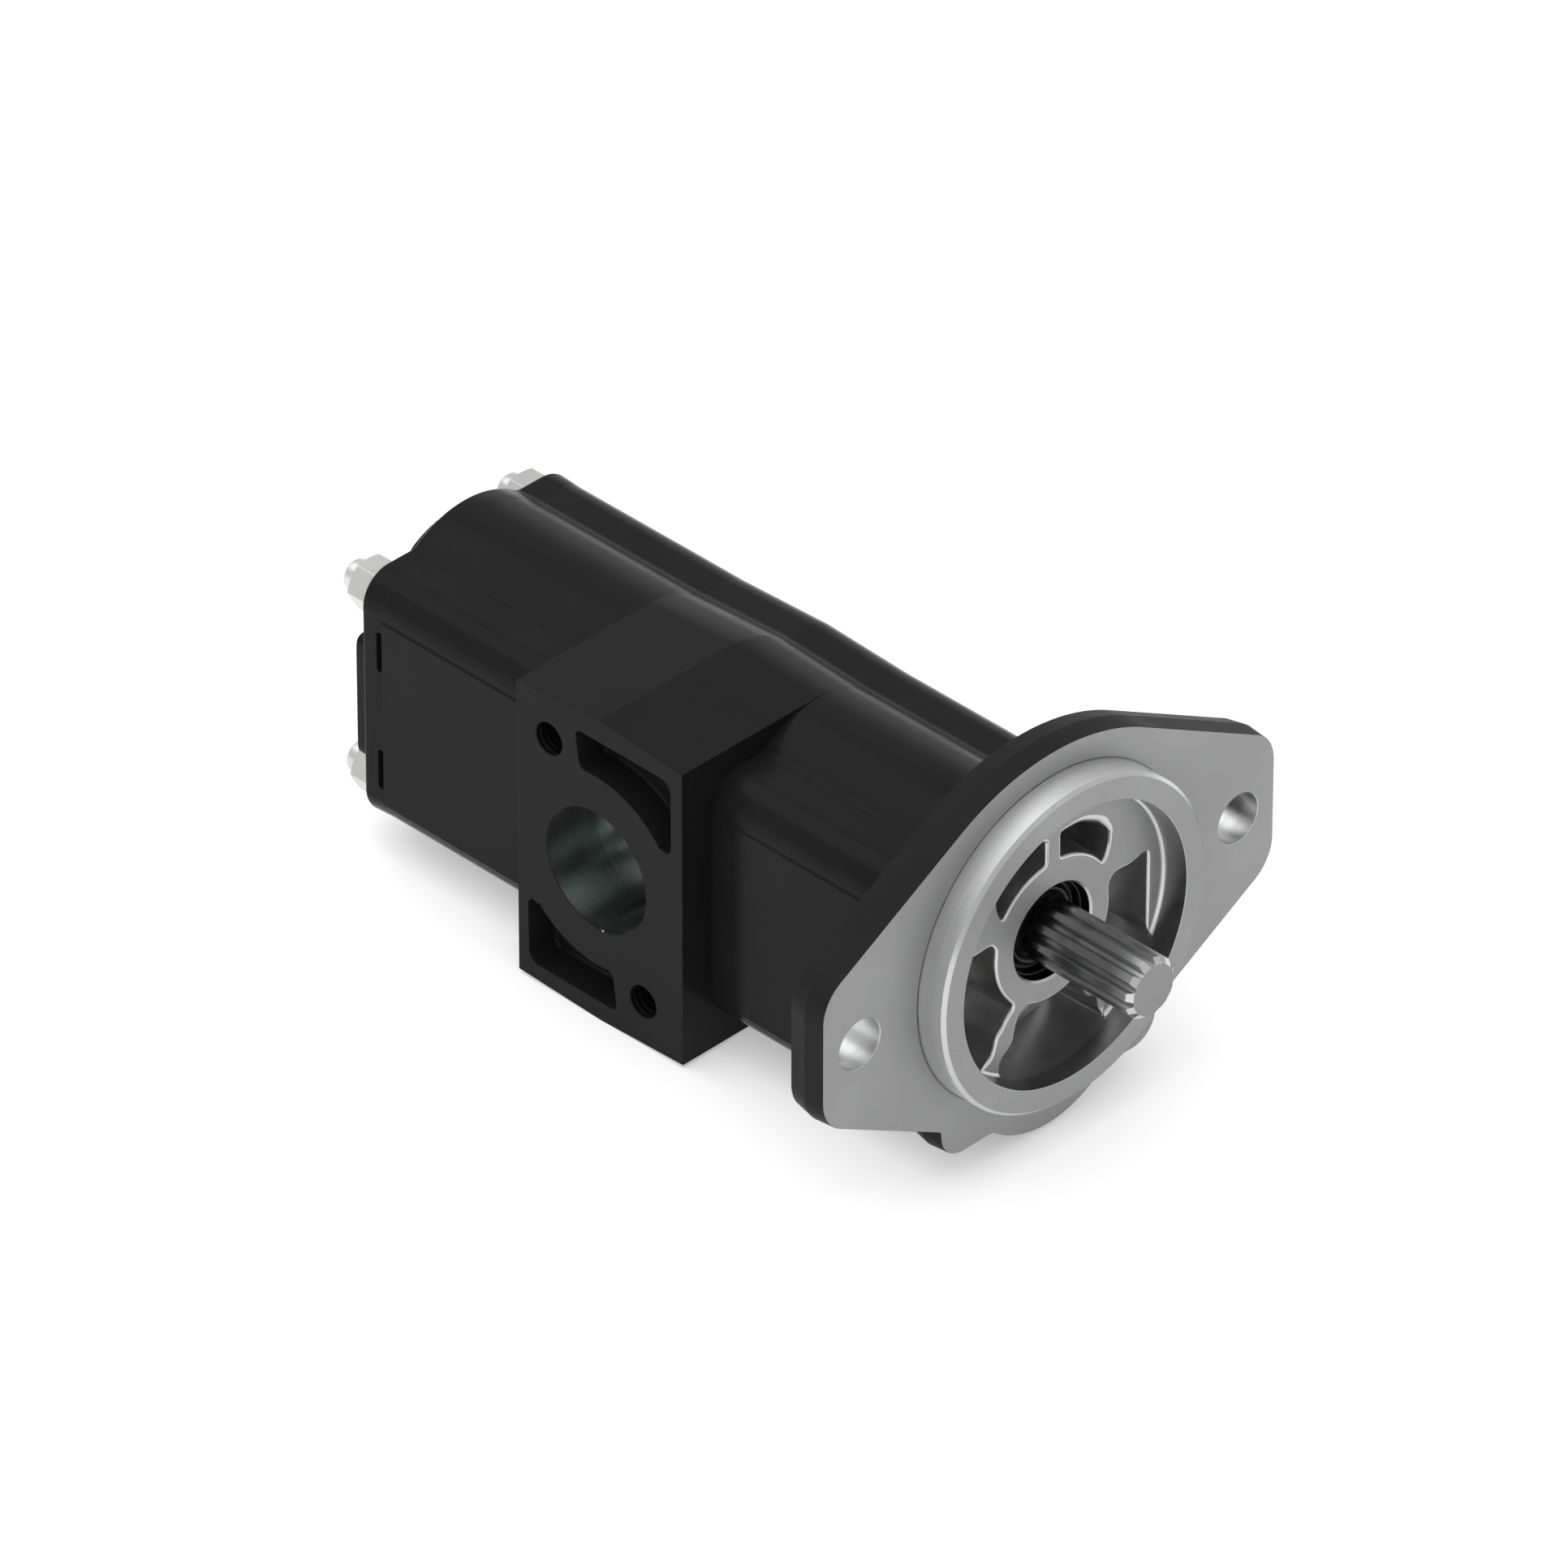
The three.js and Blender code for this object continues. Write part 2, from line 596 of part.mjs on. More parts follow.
function portBlock() {
  const boltEnd = PORT_FACE_Y + INLET_BOLT_DEPTH;
  const bolts = [-1, 1].map((side) => {
    const x = INLET_X + (side * INLET_BOLTS_X) / 2;
    const z = MIDDLE_Z - (side * INLET_BOLTS_Z) / 2;
    return sideBore(INLET_BOLT_R, PORT_FACE_Y - 1, boltEnd, x, z, 32);
  });
  return cut(
    blockBlank(),
    sideBore(INLET_R, PORT_FACE_Y - 1, INLET_FLOOR_Y, INLET_X, MIDDLE_Z, 72),
    ...bolts,
    ...facePocketCutters(),
    bore(COUPLING_PASSAGE_R, BLOCK_BACK - 1, BLOCK_FRONT + 1, 0, 0, 32),
    bore(SUCTION_R, BLOCK_BACK - 1, BLOCK_FRONT + 1, SUCTION_Y, MIDDLE_Z, 24),
    studHoles(STUD_HOLE_R, BLOCK_BACK - 1, BLOCK_FRONT + 1),
    dowelHoles(BLOCK_BACK - 1, BLOCK_BACK + DOWEL_DEPTH),
    dowelHoles(BLOCK_FRONT - DOWEL_DEPTH, BLOCK_FRONT + 1),
  );
}

// ---------------------------------------------------------------- rear cover

// The raised boss on the back, hollowed round each nut.
function rearBoss() {
  const [upperCorner, lowerCorner] = BOSS_CORNER_Z;
  const right = [
    ...arc(0, 0, BOSS_DOME_R, 90, 62, 7),
    ...arc(STUD_Y, STUD_TOP_Z, BOSS_NUT_CLEAR_R, 160, 280, 10),
    ...arc(BOSS_CORNER_Y, upperCorner, BOSS_CORNER_R, 60, 0, 20),
    ...arc(BOSS_CORNER_Y, lowerCorner, BOSS_CORNER_R, 0, -60, 20),
    ...arc(STUD_Y, STUD_BOTTOM_Z, BOSS_NUT_CLEAR_R, 80, 200, 10),
    ...arc(0, -GEAR_CENTRES, BOSS_DOME_R, -62, -90, 7),
  ];
  const outline = withoutRepeats([...right, ...mirrored(right)]);
  return solidOf(acrossShaft(outline, REAR_COVER_BACK - REAR_BOSS, REAR_COVER_BACK + 1));
}

// Slots at the joint for a pry bar, two on each side.
function prySlots() {
  const beyond = 1;
  const slots = [];
  for (const side of [1, -1]) {
    for (const z of PRY_SLOT_Z) {
      const box = new THREE.BoxGeometry(PRY_SLOT_WIDTH + beyond, 2 * PRY_SLOT_DEPTH, PRY_SLOT_HEIGHT);
      box.translate(REAR_HOUSING_BACK + (beyond - PRY_SLOT_WIDTH) / 2, side * PAD_Y, z);
      slots.push(solidOf(box));
    }
  }
  return slots;
}

function rearCover() {
  const plate = solidOf(acrossShaft(bodyOutline(COVER_LOBE_R, false), REAR_COVER_BACK, REAR_HOUSING_BACK));
  return cut(
    plate.add(rearBoss()),
    ...prySlots(),
    studHoles(STUD_HOLE_R, REAR_COVER_BACK - 1, REAR_HOUSING_BACK + 1),
    dowelHoles(REAR_HOUSING_BACK - DOWEL_DEPTH, REAR_HOUSING_BACK + 1),
  );
}

// ---------------------------------------------------------------- gears and shafts

const gearWidth = () => SECTION_LENGTH - 2 * (BEARING_BLOCK + WEAR_PLATE) - 6 * END_FLOAT;

// Outline of an involute gear with a tooth at turnDegrees, backed off for backlash.
function gearOutline(turnDegrees) {
  const baseR = PITCH_R * Math.cos(PRESSURE_ANGLE);
  const tipR = PITCH_R + MODULE;
  const rootR = PITCH_R - DEDENDUM * MODULE;
  const involute = (angle) => Math.tan(angle) - angle;
  const halfTooth = Math.PI / (2 * TEETH) - BACKLASH / (4 * PITCH_R);
  const halfAt = (r) => halfTooth + involute(PRESSURE_ANGLE) - involute(Math.acos(Math.min(1, baseR / r)));
  const flank = [0.02, 0.5, 1].map((t) => {
    const r = baseR + (tipR - baseR) * t;
    return [r, halfAt(r)];
  });
  const foot = [rootR, halfAt(baseR) + 0.05];
  const tooth = [foot, ...flank];
  const points = [];
  for (let i = 0; i < TEETH; i += 1) {
    const middle = degrees(turnDegrees) + (2 * Math.PI * i) / TEETH;
    for (const [r, half] of tooth) points.push(polar(r, middle - half));
    for (const [r, half] of [...tooth].reverse()) points.push(polar(r, middle + half));
  }
  return points;
}

const polar = (r, angle) => point(r * Math.cos(angle), r * Math.sin(angle));

// Outline of a straight-sided spline, grown by a clearance when it is the hole's.
function splineOutline(teeth, tipR, rootR, turnDegrees, clearance = 0) {
  const pitch = (2 * Math.PI) / teeth;
  const extra = clearance / tipR;
  const halfTip = pitch * 0.16 + extra;
  const halfRoot = pitch * 0.31 + extra;
  const points = [];
  for (let i = 0; i < teeth; i += 1) {
    const middle = degrees(turnDegrees) + pitch * i;
    points.push(polar(rootR + clearance, middle - halfRoot));
    points.push(polar(tipR + clearance, middle - halfTip));
    points.push(polar(tipR + clearance, middle + halfTip));
    points.push(polar(rootR + clearance, middle + halfRoot));
  }
  return points;
}

// Toothed part of a gear in the section whose front is at x = front.
function gearTeeth(front, turnDegrees) {
  const start = front - BEARING_BLOCK - WEAR_PLATE - 3 * END_FLOAT;
  return solidOf(acrossShaft(gearOutline(turnDegrees), start - gearWidth(), start));
}

function couplingBore(x0, x1) {
  const outline = splineOutline(COUPLING_TEETH, COUPLING_R, COUPLING_ROOT_R, 0, COUPLING_CLEARANCE);
  return solidOf(acrossShaft(outline, x0, x1));
}

// The drive shaft and the front section's drive gear, one piece, with its splined end.
function driveShaft() {
  const back = BLOCK_FRONT + GEAR_END_GAP;
  const outline = splineOutline(SPLINE_TEETH, SPLINE_R, SPLINE_ROOT_R, SPLINE_TURN);
  const splineBlank = solidOf(acrossShaft(outline, SPLINE_START - 1, SHAFT_END));
  const endCut = turned([
    [0, SPLINE_START - 2],
    [SPLINE_R + 1, SPLINE_START - 2],
    [SPLINE_R + 1, SHAFT_END - SHAFT_CHAMFER - 1],
    [SPLINE_ROOT_R - 0.2, SHAFT_END],
    [0, SHAFT_END],
  ]);
  const journal = turned([
    [0, back],
    [JOURNAL_R - JOURNAL_CHAMFER, back],
    [JOURNAL_R, back + JOURNAL_CHAMFER],
    [JOURNAL_R, SPLINE_START - 0.8],
    [JOURNAL_R - 0.8, SPLINE_START],
    [0, SPLINE_START],
  ], 32);
  const whole = joined(splineBlank.intersect(endCut), journal, gearTeeth(COVER_BACK, -90));
  return whole.subtract(couplingBore(back - 1, back + COUPLING_REACH + 1));
}

// A gear with a journal at each end, drawn on the drive axis.
function gearWithJournals(front, turnDegrees) {
  const start = front - GEAR_END_GAP;
  const end = front - SECTION_LENGTH + GEAR_END_GAP;
  const journals = turned([
    [0, end],
    [JOURNAL_R - JOURNAL_CHAMFER, end],
    [JOURNAL_R, end + JOURNAL_CHAMFER],
    [JOURNAL_R, start - JOURNAL_CHAMFER],
    [JOURNAL_R - JOURNAL_CHAMFER, start],
    [0, start],
  ], 32);
  return journals.add(gearTeeth(front, turnDegrees));
}

function rearDriveGear() {
  const start = BLOCK_BACK - GEAR_END_GAP;
  return gearWithJournals(BLOCK_BACK, -90).subtract(couplingBore(start - COUPLING_REACH - 1, start + 1));
}

function couplingShaft() {
  const outline = splineOutline(COUPLING_TEETH, COUPLING_R, COUPLING_ROOT_R, 0);
  const reach = GEAR_END_GAP + COUPLING_REACH;
  return solidOf(acrossShaft(outline, BLOCK_BACK - reach, BLOCK_FRONT + reach));
}

// ---------------------------------------------------------------- inside each section

function bearingBlock(x0) {
  const x1 = x0 + BEARING_BLOCK;
  return pair(BEARING_BLOCK_R, x0, x1).subtract(pair(BEARING_R, x0 - 1, x1 + 1, bore, 24));
}

function wearPlate(x0) {
  const x1 = x0 + WEAR_PLATE;
  return pair(BEARING_BLOCK_R, x0, x1).subtract(pair(JOURNAL_R + 0.4, x0 - 1, x1 + 1, bore, 20));
}

// Bearing blocks, wear plates, driven gear and end seals of one section.
function sectionInside(label, front) {
  const back = front - SECTION_LENGTH;
  const inside = new THREE.Group();
  const innerDepth = SEAL_LOOP_DEPTH - FIT;
  const bronze = metal("bearing_bronze", 0xa0763c, 0.4);
  const aluminium = metal("bearing_aluminium", 0xa8a8a6, 0.45);
  const steel = metal("gear_steel", 0x6e7175, 0.3);
  inside.add(
    named(`${label}_bearing_block_1`, bearingBlock(front - END_FLOAT - BEARING_BLOCK), aluminium),
    named(`${label}_bearing_block_2`, bearingBlock(back + END_FLOAT), aluminium.clone()),
    named(`${label}_wear_plate_1`, wearPlate(front - 2 * END_FLOAT - BEARING_BLOCK - WEAR_PLATE), bronze),
    named(`${label}_wear_plate_2`, wearPlate(back + 2 * END_FLOAT + BEARING_BLOCK), bronze.clone()),
    named(`${label}_seal_1`, sealLoop(front - innerDepth, front - FIT, -FIT), rubber("seal_rubber")),
    named(`${label}_seal_2`, sealLoop(back + FIT, back + innerDepth, -FIT), rubber("seal_rubber")),
  );
  // Its tooth gap faces the tooth of the drive gear above.
  const driven = named(`${label}_driven_gear`, gearWithJournals(front, 90 + 180 / TEETH), steel);
  driven.position.z = -GEAR_CENTRES;
  inside.add(driven);
  return inside;
}

// The lip seal pressed into the cover round the shaft.
function shaftSeal() {
  const inner = JOURNAL_R + 0.08;
  return turned([
    [SEAL_BORE_R - FIT, -8.4],
    [SEAL_BORE_R - FIT, -1.4],
    [13.7, -1.4],
    [13.2, -2.6],
    [12.3, -3],
    [11.7, -2.1],
    [11, -1.6],
    [inner, -2.4],
    [inner + 0.5, -3.6],
    [11.2, -4.6],
    [inner, -6.4],
    [inner + 0.7, -7.8],
    [12, -8.4],
    [SEAL_BORE_R - FIT, -8.4],
  ], 28);
}

// ---------------------------------------------------------------- fasteners

function tieStud() {
  return turned([
    [0, STUD_BACK],
    [STUD_R - THREAD_CHAMFER, STUD_BACK],
    [STUD_R, STUD_BACK + THREAD_CHAMFER],
    [STUD_R, STUD_FRONT - THREAD_CHAMFER],
    [STUD_R - THREAD_CHAMFER, STUD_FRONT],
    [0, STUD_FRONT],
  ], 16);
}

function tieNut() {
  const front = REAR_COVER_BACK;
  const back = REAR_COVER_BACK - NUT_HEIGHT;
  const across = NUT_FLATS / 2;
  const hexagon = arc(0, 0, across / Math.cos(Math.PI / 6), 0, 300, 60);
  const chamfer = turned([
    [0, back],
    [across - 0.2, back],
    [across + 1.4, back + NUT_CHAMFER],
    [across + 1.4, front - NUT_CHAMFER],
    [across - 0.2, front],
    [0, front],
  ], 24);
  const blank = solidOf(acrossShaft(hexagon, back, front)).intersect(chamfer);
  return blank.subtract(bore(STUD_R + FIT, back - 1, front + 1, 0, 0, 16));
}

function fasteners() {
  const group = new THREE.Group();
  studPlaces.forEach(([y, z], i) => {
    const stud = named(`tie_stud_${i + 1}`, tieStud(), metal("zinc_stud", 0xb8babc, 0.35));
    const nut = named(`tie_nut_${i + 1}`, tieNut(), metal("zinc_nut", 0xc2c4c6, 0.35));
    stud.position.set(0, y, z);
    nut.position.set(0, y, z);
    group.add(stud, nut);
  });
  return group;
}

// Two dowels at each joint, half in each piece.
function dowels() {
  const group = new THREE.Group();
  const half = DOWEL_DEPTH - DOWEL_END_GAP;
  const joints = [COVER_BACK, BLOCK_FRONT, BLOCK_BACK, REAR_HOUSING_BACK];
  joints.forEach((x, i) => {
    for (const [side, y] of [["left", -DOWEL_Y], ["right", DOWEL_Y]]) {
      const pin = bar(DOWEL_R, x - half, x + half, y, DOWEL_Z, 12);
      group.add(named(`dowel_${i + 1}_${side}`, pin, metal("dowel_steel", 0x9a9ca0, 0.3)));
    }
  });
  return group;
}

// ---------------------------------------------------------------- the pump

const pump = new THREE.Group();
pump.add(
  named("shaft_end_cover", shaftEndCover(), metal("machined_iron", 0x9a9c9e, 0.4)),
  named("front_gear_housing", gearHousing(COVER_BACK, BLOCK_FRONT), paint("black_paint")),
  named("port_block", portBlock(), paint("black_paint")),
  named("rear_gear_housing", gearHousing(BLOCK_BACK, BLOCK_BACK), paint("black_paint")),
  named("rear_cover", rearCover(), paint("black_paint")),
  named("shaft_seal", shaftSeal(), rubber("seal_rubber")),
  named("drive_shaft", driveShaft(), metal("shaft_steel", 0x77797c, 0.28)),
  named("rear_drive_gear", rearDriveGear(), metal("gear_steel", 0x6e7175, 0.3)),
  named("coupling_shaft", couplingShaft(), metal("shaft_steel", 0x77797c, 0.28)),
  sectionInside("front", COVER_BACK),
  sectionInside("rear", BLOCK_BACK),
  fasteners(),
  dowels(),
);

// The finished pump stands on z = 0 on the ridge under its port block, centred over the origin.
const BLOCK_UNDERSIDE = GEAR_CENTRES + BLOCK_DOME_R + BLOCK_RIDGE_BOTTOM;
pump.position.set(-(SHAFT_END + STUD_BACK) / 2, 0, BLOCK_UNDERSIDE);

export default pump;
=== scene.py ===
import math

import bmesh
import bpy
from mathutils import Matrix, Vector


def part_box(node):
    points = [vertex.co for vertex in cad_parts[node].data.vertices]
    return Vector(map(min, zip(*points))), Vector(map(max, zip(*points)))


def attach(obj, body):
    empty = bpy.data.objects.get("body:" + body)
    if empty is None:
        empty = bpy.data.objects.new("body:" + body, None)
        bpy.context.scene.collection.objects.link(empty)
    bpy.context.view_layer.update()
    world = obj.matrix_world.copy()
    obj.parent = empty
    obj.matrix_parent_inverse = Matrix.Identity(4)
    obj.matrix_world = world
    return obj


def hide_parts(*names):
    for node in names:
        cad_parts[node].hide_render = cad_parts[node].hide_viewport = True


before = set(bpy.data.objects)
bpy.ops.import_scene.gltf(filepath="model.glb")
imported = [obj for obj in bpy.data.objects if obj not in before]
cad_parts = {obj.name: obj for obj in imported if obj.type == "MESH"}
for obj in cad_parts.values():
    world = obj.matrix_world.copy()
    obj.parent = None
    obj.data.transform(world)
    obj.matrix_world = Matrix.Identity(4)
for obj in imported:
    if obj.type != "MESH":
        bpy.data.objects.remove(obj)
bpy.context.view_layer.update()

# ------------------------------------------------------------------ sizes, in millimetres
# The pieces are drawn about the drive shaft: x = 0 on the mounting face, y = z = 0 on the shaft axis.
SHAFT_END = 38.3
STUD_Y, STUD_TOP_Z, STUD_BOTTOM_Z = 29.4, 14.8, -46.3
SHIFT_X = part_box("drive_shaft")[1].x * 1000 - SHAFT_END
SHIFT_Z = sum(corner.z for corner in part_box("tie_stud_1")) * 500 - STUD_TOP_Z

GEAR_CENTRES = 32.5
MIDDLE_Z = -GEAR_CENTRES / 2
COVER_BACK, BLOCK_FRONT, BLOCK_BACK, REAR_HOUSING_BACK = -24.6, -89.0, -152.6, -217.0
REAR_COVER_BACK, REAR_BOSS_BACK = -225.0, -230.5
SECTION = 64.4
EAR_BACK = -12.5

DOME_R, LOBE_R, COVER_LOBE_R, LOBE_FILLET = 31.9, 9.9, 10.3, 5.0
PAD_Y, PAD_TOP, PAD_BOTTOM = 39.9, 13.1, -47.7

CROWN_R, CROWN_Z = 71.2, -12.5
EAR_TIP_Y, EAR_SLOPE, LOWER_EDGE, EAR_CORNER_R = 86.9, 29.2, 60.2, 13.0
FOOT_Y, FOOT_R = 32.9, 8.65
FLANGE_HOLE_Y, FLANGE_HOLE_R = 73.0, 7.77
PILOT_R, PILOT_INNER_R, PILOT_FRONT, SPIDER_FACE = 50.8, 43.0, 9.5, 0.9
SEAL_BORE_R, SEAL_BORE_BACK = 14.7, -9.0
POCKET_FLOOR, SLOT_FLOOR = -20.0, -17.0

PORT_FACE_Y, BLOCK_DOME_R = -51.0, 32.15
INLET_X, INLET_R, INLET_FLOOR_Y = -122.2, 19.05, -6.0
INLET_BOLTS = (35.71, 69.85)
INLET_BOLT_R, INLET_BOLT_DEPTH = 4.95, 13.0
OUTLET_R, OUTLET_SPOT_R = 12.3, 17.5

STUD_PLACES = [(STUD_Y, STUD_TOP_Z), (-STUD_Y, STUD_TOP_Z), (-STUD_Y, STUD_BOTTOM_Z), (STUD_Y, STUD_BOTTOM_Z)]
STUD_R, STUD_FRONT, STUD_BACK, STUD_HOLE_R = 4.75, -8.0, -238.5, 5.1
NUT_FLATS, NUT_HEIGHT = 14.3, 8.5
DOWEL_Y, DOWEL_Z, DOWEL_HOLE_R, DOWEL_HOLE_DEPTH = 34, -36, 3.05, 6.2
CHAMBER_R, PASSAGE_R, SUCTION_Y, SUCTION_R = 19.13, 12, -16, 8
SEAL_GROOVE_INNER_R, SEAL_GROOVE_OUTER_R, SEAL_GROOVE_DEPTH = 24.55, 26.25, 1.6
JOURNAL_R, BEARING_BLOCK, WEAR_PLATE, END_FLOAT = 10.0, 19.0, 2.2, 0.1
GEAR_WIDTH = SECTION - 2 * (BEARING_BLOCK + WEAR_PLATE) - 6 * END_FLOAT
TEETH, PRESSURE_ANGLE, BACKLASH = 12, math.radians(25), 0.24
SPLINE_TEETH, SPLINE_TIP_R, SPLINE_ROOT_R, SPLINE_TURN = 11, 9.3, 7.6, 106.7
COUPLING_TEETH, COUPLING_TIP_R, COUPLING_ROOT_R, COUPLING_FIT, COUPLING_DEPTH = 8, 6.4, 5.1, 0.12, 16
JOURNAL_GAP = 0.5


def place(x, y, z):
    """A point of the drawing, in metres in the frame."""
    return Vector(((x + SHIFT_X) / 1000, y / 1000, (z + SHIFT_Z) / 1000))


# ------------------------------------------------------------------ flat outlines
def arc(a, b, radius, start, end, step=3.0):
    count = max(1, math.ceil(abs(end - start) / step))
    angles = [math.radians(start + (end - start) * i / count) for i in range(count + 1)]
    return [(a + radius * math.cos(t), b + radius * math.sin(t)) for t in angles]


def quarter(*degrees):
    """The sine and cosine at each step round a rounded edge."""
    return [(math.sin(math.radians(t)), math.cos(math.radians(t))) for t in degrees]


def clamped(value):
    return min(1.0, max(0.0, value))


def mirrored(points):
    return [(-a, b) for a, b in reversed(points)]


def cleaned(points, least=0.02):
    """Without points that repeat, and counter-clockwise."""
    kept = []
    for p in points:
        if not kept or math.dist(p, kept[-1]) > least:
            kept.append(p)
    if math.dist(kept[0], kept[-1]) <= least:
        kept.pop()
    area = sum(a[0] * b[1] - b[0] * a[1] for a, b in zip(kept, kept[1:] + kept[:1]))
    return kept if area > 0 else kept[::-1]


def resampled(points, spacing):
    """The closed outline again, with points no further apart than the spacing."""
    out = []
    for a, b in zip(points, points[1:] + points[:1]):
        count = max(1, math.ceil(math.dist(a, b) / spacing))
        out += [(a[0] + (b[0] - a[0]) * i / count, a[1] + (b[1] - a[1]) * i / count) for i in range(count)]
    return out


def smoothed(points, rounds):
    for _ in range(rounds):
        n = len(points)
        points = [
            tuple((points[i - 1][k] + 2 * points[i][k] + points[(i + 1) % n][k]) / 4 for k in (0, 1))
            for i in range(n)
        ]
    return points


def spline(points, per=5):
    """A smooth open curve through the points."""
    ends = [points[0], *points, points[-1]]
    out = []
    for i in range(1, len(ends) - 2):
        p = ends[i - 1 : i + 3]
        for s in range(per):
            t = s / per
            out.append(tuple(
                0.5 * (2 * p[1][k] + (p[2][k] - p[0][k]) * t
                       + (2 * p[0][k] - 5 * p[1][k] + 4 * p[2][k] - p[3][k]) * t * t
                       + (3 * p[1][k] - p[0][k] - 3 * p[2][k] + p[3][k]) * t ** 3)
                for k in (0, 1)
            ))
    return out + [points[-1]]


def grown(points, by):
    """A counter-clockwise outline moved outwards; by is one distance or one for each point."""
    n = len(points)
    amounts = by if isinstance(by, list) else [by] * n
    out = []
    for i, (a, b) in enumerate(points):
        back, ahead = points[i - 1], points[(i + 1) % n]
        before = Vector((a - back[0], b - back[1])).normalized()
        after = Vector((ahead[0] - a, ahead[1] - b)).normalized()
        normals = Vector((before.y, -before.x)), Vector((after.y, -after.x))
        middle = normals[0] + normals[1]
        middle = middle.normalized() if middle.length > 1e-6 else normals[0]
        reach = amounts[i] / max(0.55, middle.dot(normals[0]))
        out.append((a + middle.x * reach, b + middle.y * reach))
    return out


# ------------------------------------------------------------------ meshes
def across(points, x):
    return [place(x, y, z) for y, z in points]


def along_side(points, y):
    return [place(x, y, z) for x, z in points]


def skinned(name, rows, closed=False):
    """A closed mesh through rows of equally many points; its ends are capped unless the rows go round."""
    mesh = bpy.data.meshes.new(name)
    bm = bmesh.new()
    rows = [[bm.verts.new(p) for p in row] for row in rows]
    pairs = list(zip(rows, rows[1:] + rows[:1] if closed else rows[1:]))
    for a, b in pairs:
        for i in range(len(a)):
            j = (i + 1) % len(a)
            bm.faces.new((a[i], a[j], b[j], b[i]))
    if not closed:
        bm.faces.new(rows[0][::-1])
        bm.faces.new(rows[-1])
    bmesh.ops.recalc_face_normals(bm, faces=bm.faces)
    bm.to_mesh(mesh)
    bm.free()
    made = bpy.data.objects.new(name, mesh)
    bpy.context.scene.collection.objects.link(made)
    return made


def turned(name, profile, y=0.0, z=0.0, sides=96, closed=False, side_x=None):
    """A profile of (radius, distance) turned about a line along x, or along y through side_x."""
    rows = []
    for radius, at in profile:
        ring = [
            (radius * math.cos(2 * math.pi * i / sides), radius * math.sin(2 * math.pi * i / sides))
            for i in range(sides)
        ]
        if side_x is None:
            rows.append([place(at, y + a, z + b) for a, b in ring])
        else:
            rows.append([place(side_x + a, at, z + b) for a, b in ring])
    return skinned(name, rows, closed)


def combined(target, tools, operation):
    """The target with the tools cut from it, joined to it or shared with it; the tools are used up."""
    for tool in tools:
        step = target.modifiers.new(operation, "BOOLEAN")
        step.operation, step.solver, step.object = operation, "EXACT", tool
    depsgraph = bpy.context.evaluated_depsgraph_get()
    mesh = bpy.data.meshes.new_from_object(target.evaluated_get(depsgraph))
    target.modifiers.clear()
    target.data = mesh
    for tool in tools:
        bpy.data.objects.remove(tool)
    return target


def minus(target, *tools):
    return combined(target, tools, "DIFFERENCE")


def plus(target, *tools):
    return combined(target, tools, "UNION")


def common(target, *tools):
    return combined(target, tools, "INTERSECT")


def polished(made, angle=34):
    """Smooth where it is round and sharp where it is cut."""
    bm = bmesh.new()
    bm.from_mesh(made.data)
    bmesh.ops.remove_doubles(bm, verts=bm.verts, dist=2e-6)
    bmesh.ops.dissolve_degenerate(bm, edges=bm.edges, dist=1e-6)
    limit = math.radians(angle)
    for face in bm.faces:
        face.smooth = True
    for edge in bm.edges:
        edge.smooth = len(edge.link_faces) == 2 and edge.calc_face_angle(0) < limit
    bm.to_mesh(made.data)
    bm.free()
    weighted = made.modifiers.new("weighted normals", "WEIGHTED_NORMAL")
    weighted.keep_sharp = True
    weighted.weight = 90
    return made


# ------------------------------------------------------------------ materials
def colour(value, tint=(1, 1, 1)):
    return (*(value * t for t in tint), 1)


def surface(name, base, metallic, roughness, specular=0.5):
    material = bpy.data.materials.new(name)
    material.use_nodes = True
    tree = material.node_tree
    tree.nodes.clear()
    shader = tree.nodes.new("ShaderNodeBsdfPrincipled")
    shader.inputs["Base Color"].default_value = base
    shader.inputs["Metallic"].default_value = metallic
    shader.inputs["Roughness"].default_value = roughness
    shader.inputs["Specular IOR Level"].default_value = specular
    output = tree.nodes.new("ShaderNodeOutputMaterial")
    tree.links.new(shader.outputs["BSDF"], output.inputs["Surface"])
    return material, tree, shader


def noise(tree, scale, detail=4.0, rough=0.55, stretch=(1, 1, 1)):
    coordinates = tree.nodes.new("ShaderNodeTexCoord")
    mapping = tree.nodes.new("ShaderNodeMapping")
    mapping.inputs["Scale"].default_value = stretch
    texture = tree.nodes.new("ShaderNodeTexNoise")
    texture.inputs["Scale"].default_value = scale
    texture.inputs["Detail"].default_value = detail
    texture.inputs["Roughness"].default_value = rough
    tree.links.new(coordinates.outputs["Object"], mapping.inputs["Vector"])
    tree.links.new(mapping.outputs["Vector"], texture.inputs["Vector"])
    return texture.outputs["Fac"]


def ramp(tree, source, low, high, start=0.35, end=0.65):
    made = tree.nodes.new("ShaderNodeMapRange")
    made.inputs["From Min"].default_value = start
    made.inputs["From Max"].default_value = end
    made.inputs["To Min"].default_value = low
    made.inputs["To Max"].default_value = high
    tree.links.new(source, made.inputs["Value"])
    return made.outputs["Result"]


def bumped(tree, shader, source, height, strength=0.5, under=None):
    bump = tree.nodes.new("ShaderNodeBump")
    bump.inputs["Distance"].default_value = height
    bump.inputs["Strength"].default_value = strength
    tree.links.new(source, bump.inputs["Height"])
    if under is not None:
        tree.links.new(under, bump.inputs["Normal"])
    tree.links.new(bump.outputs["Normal"], shader.inputs["Normal"])
    return bump.outputs["Normal"]


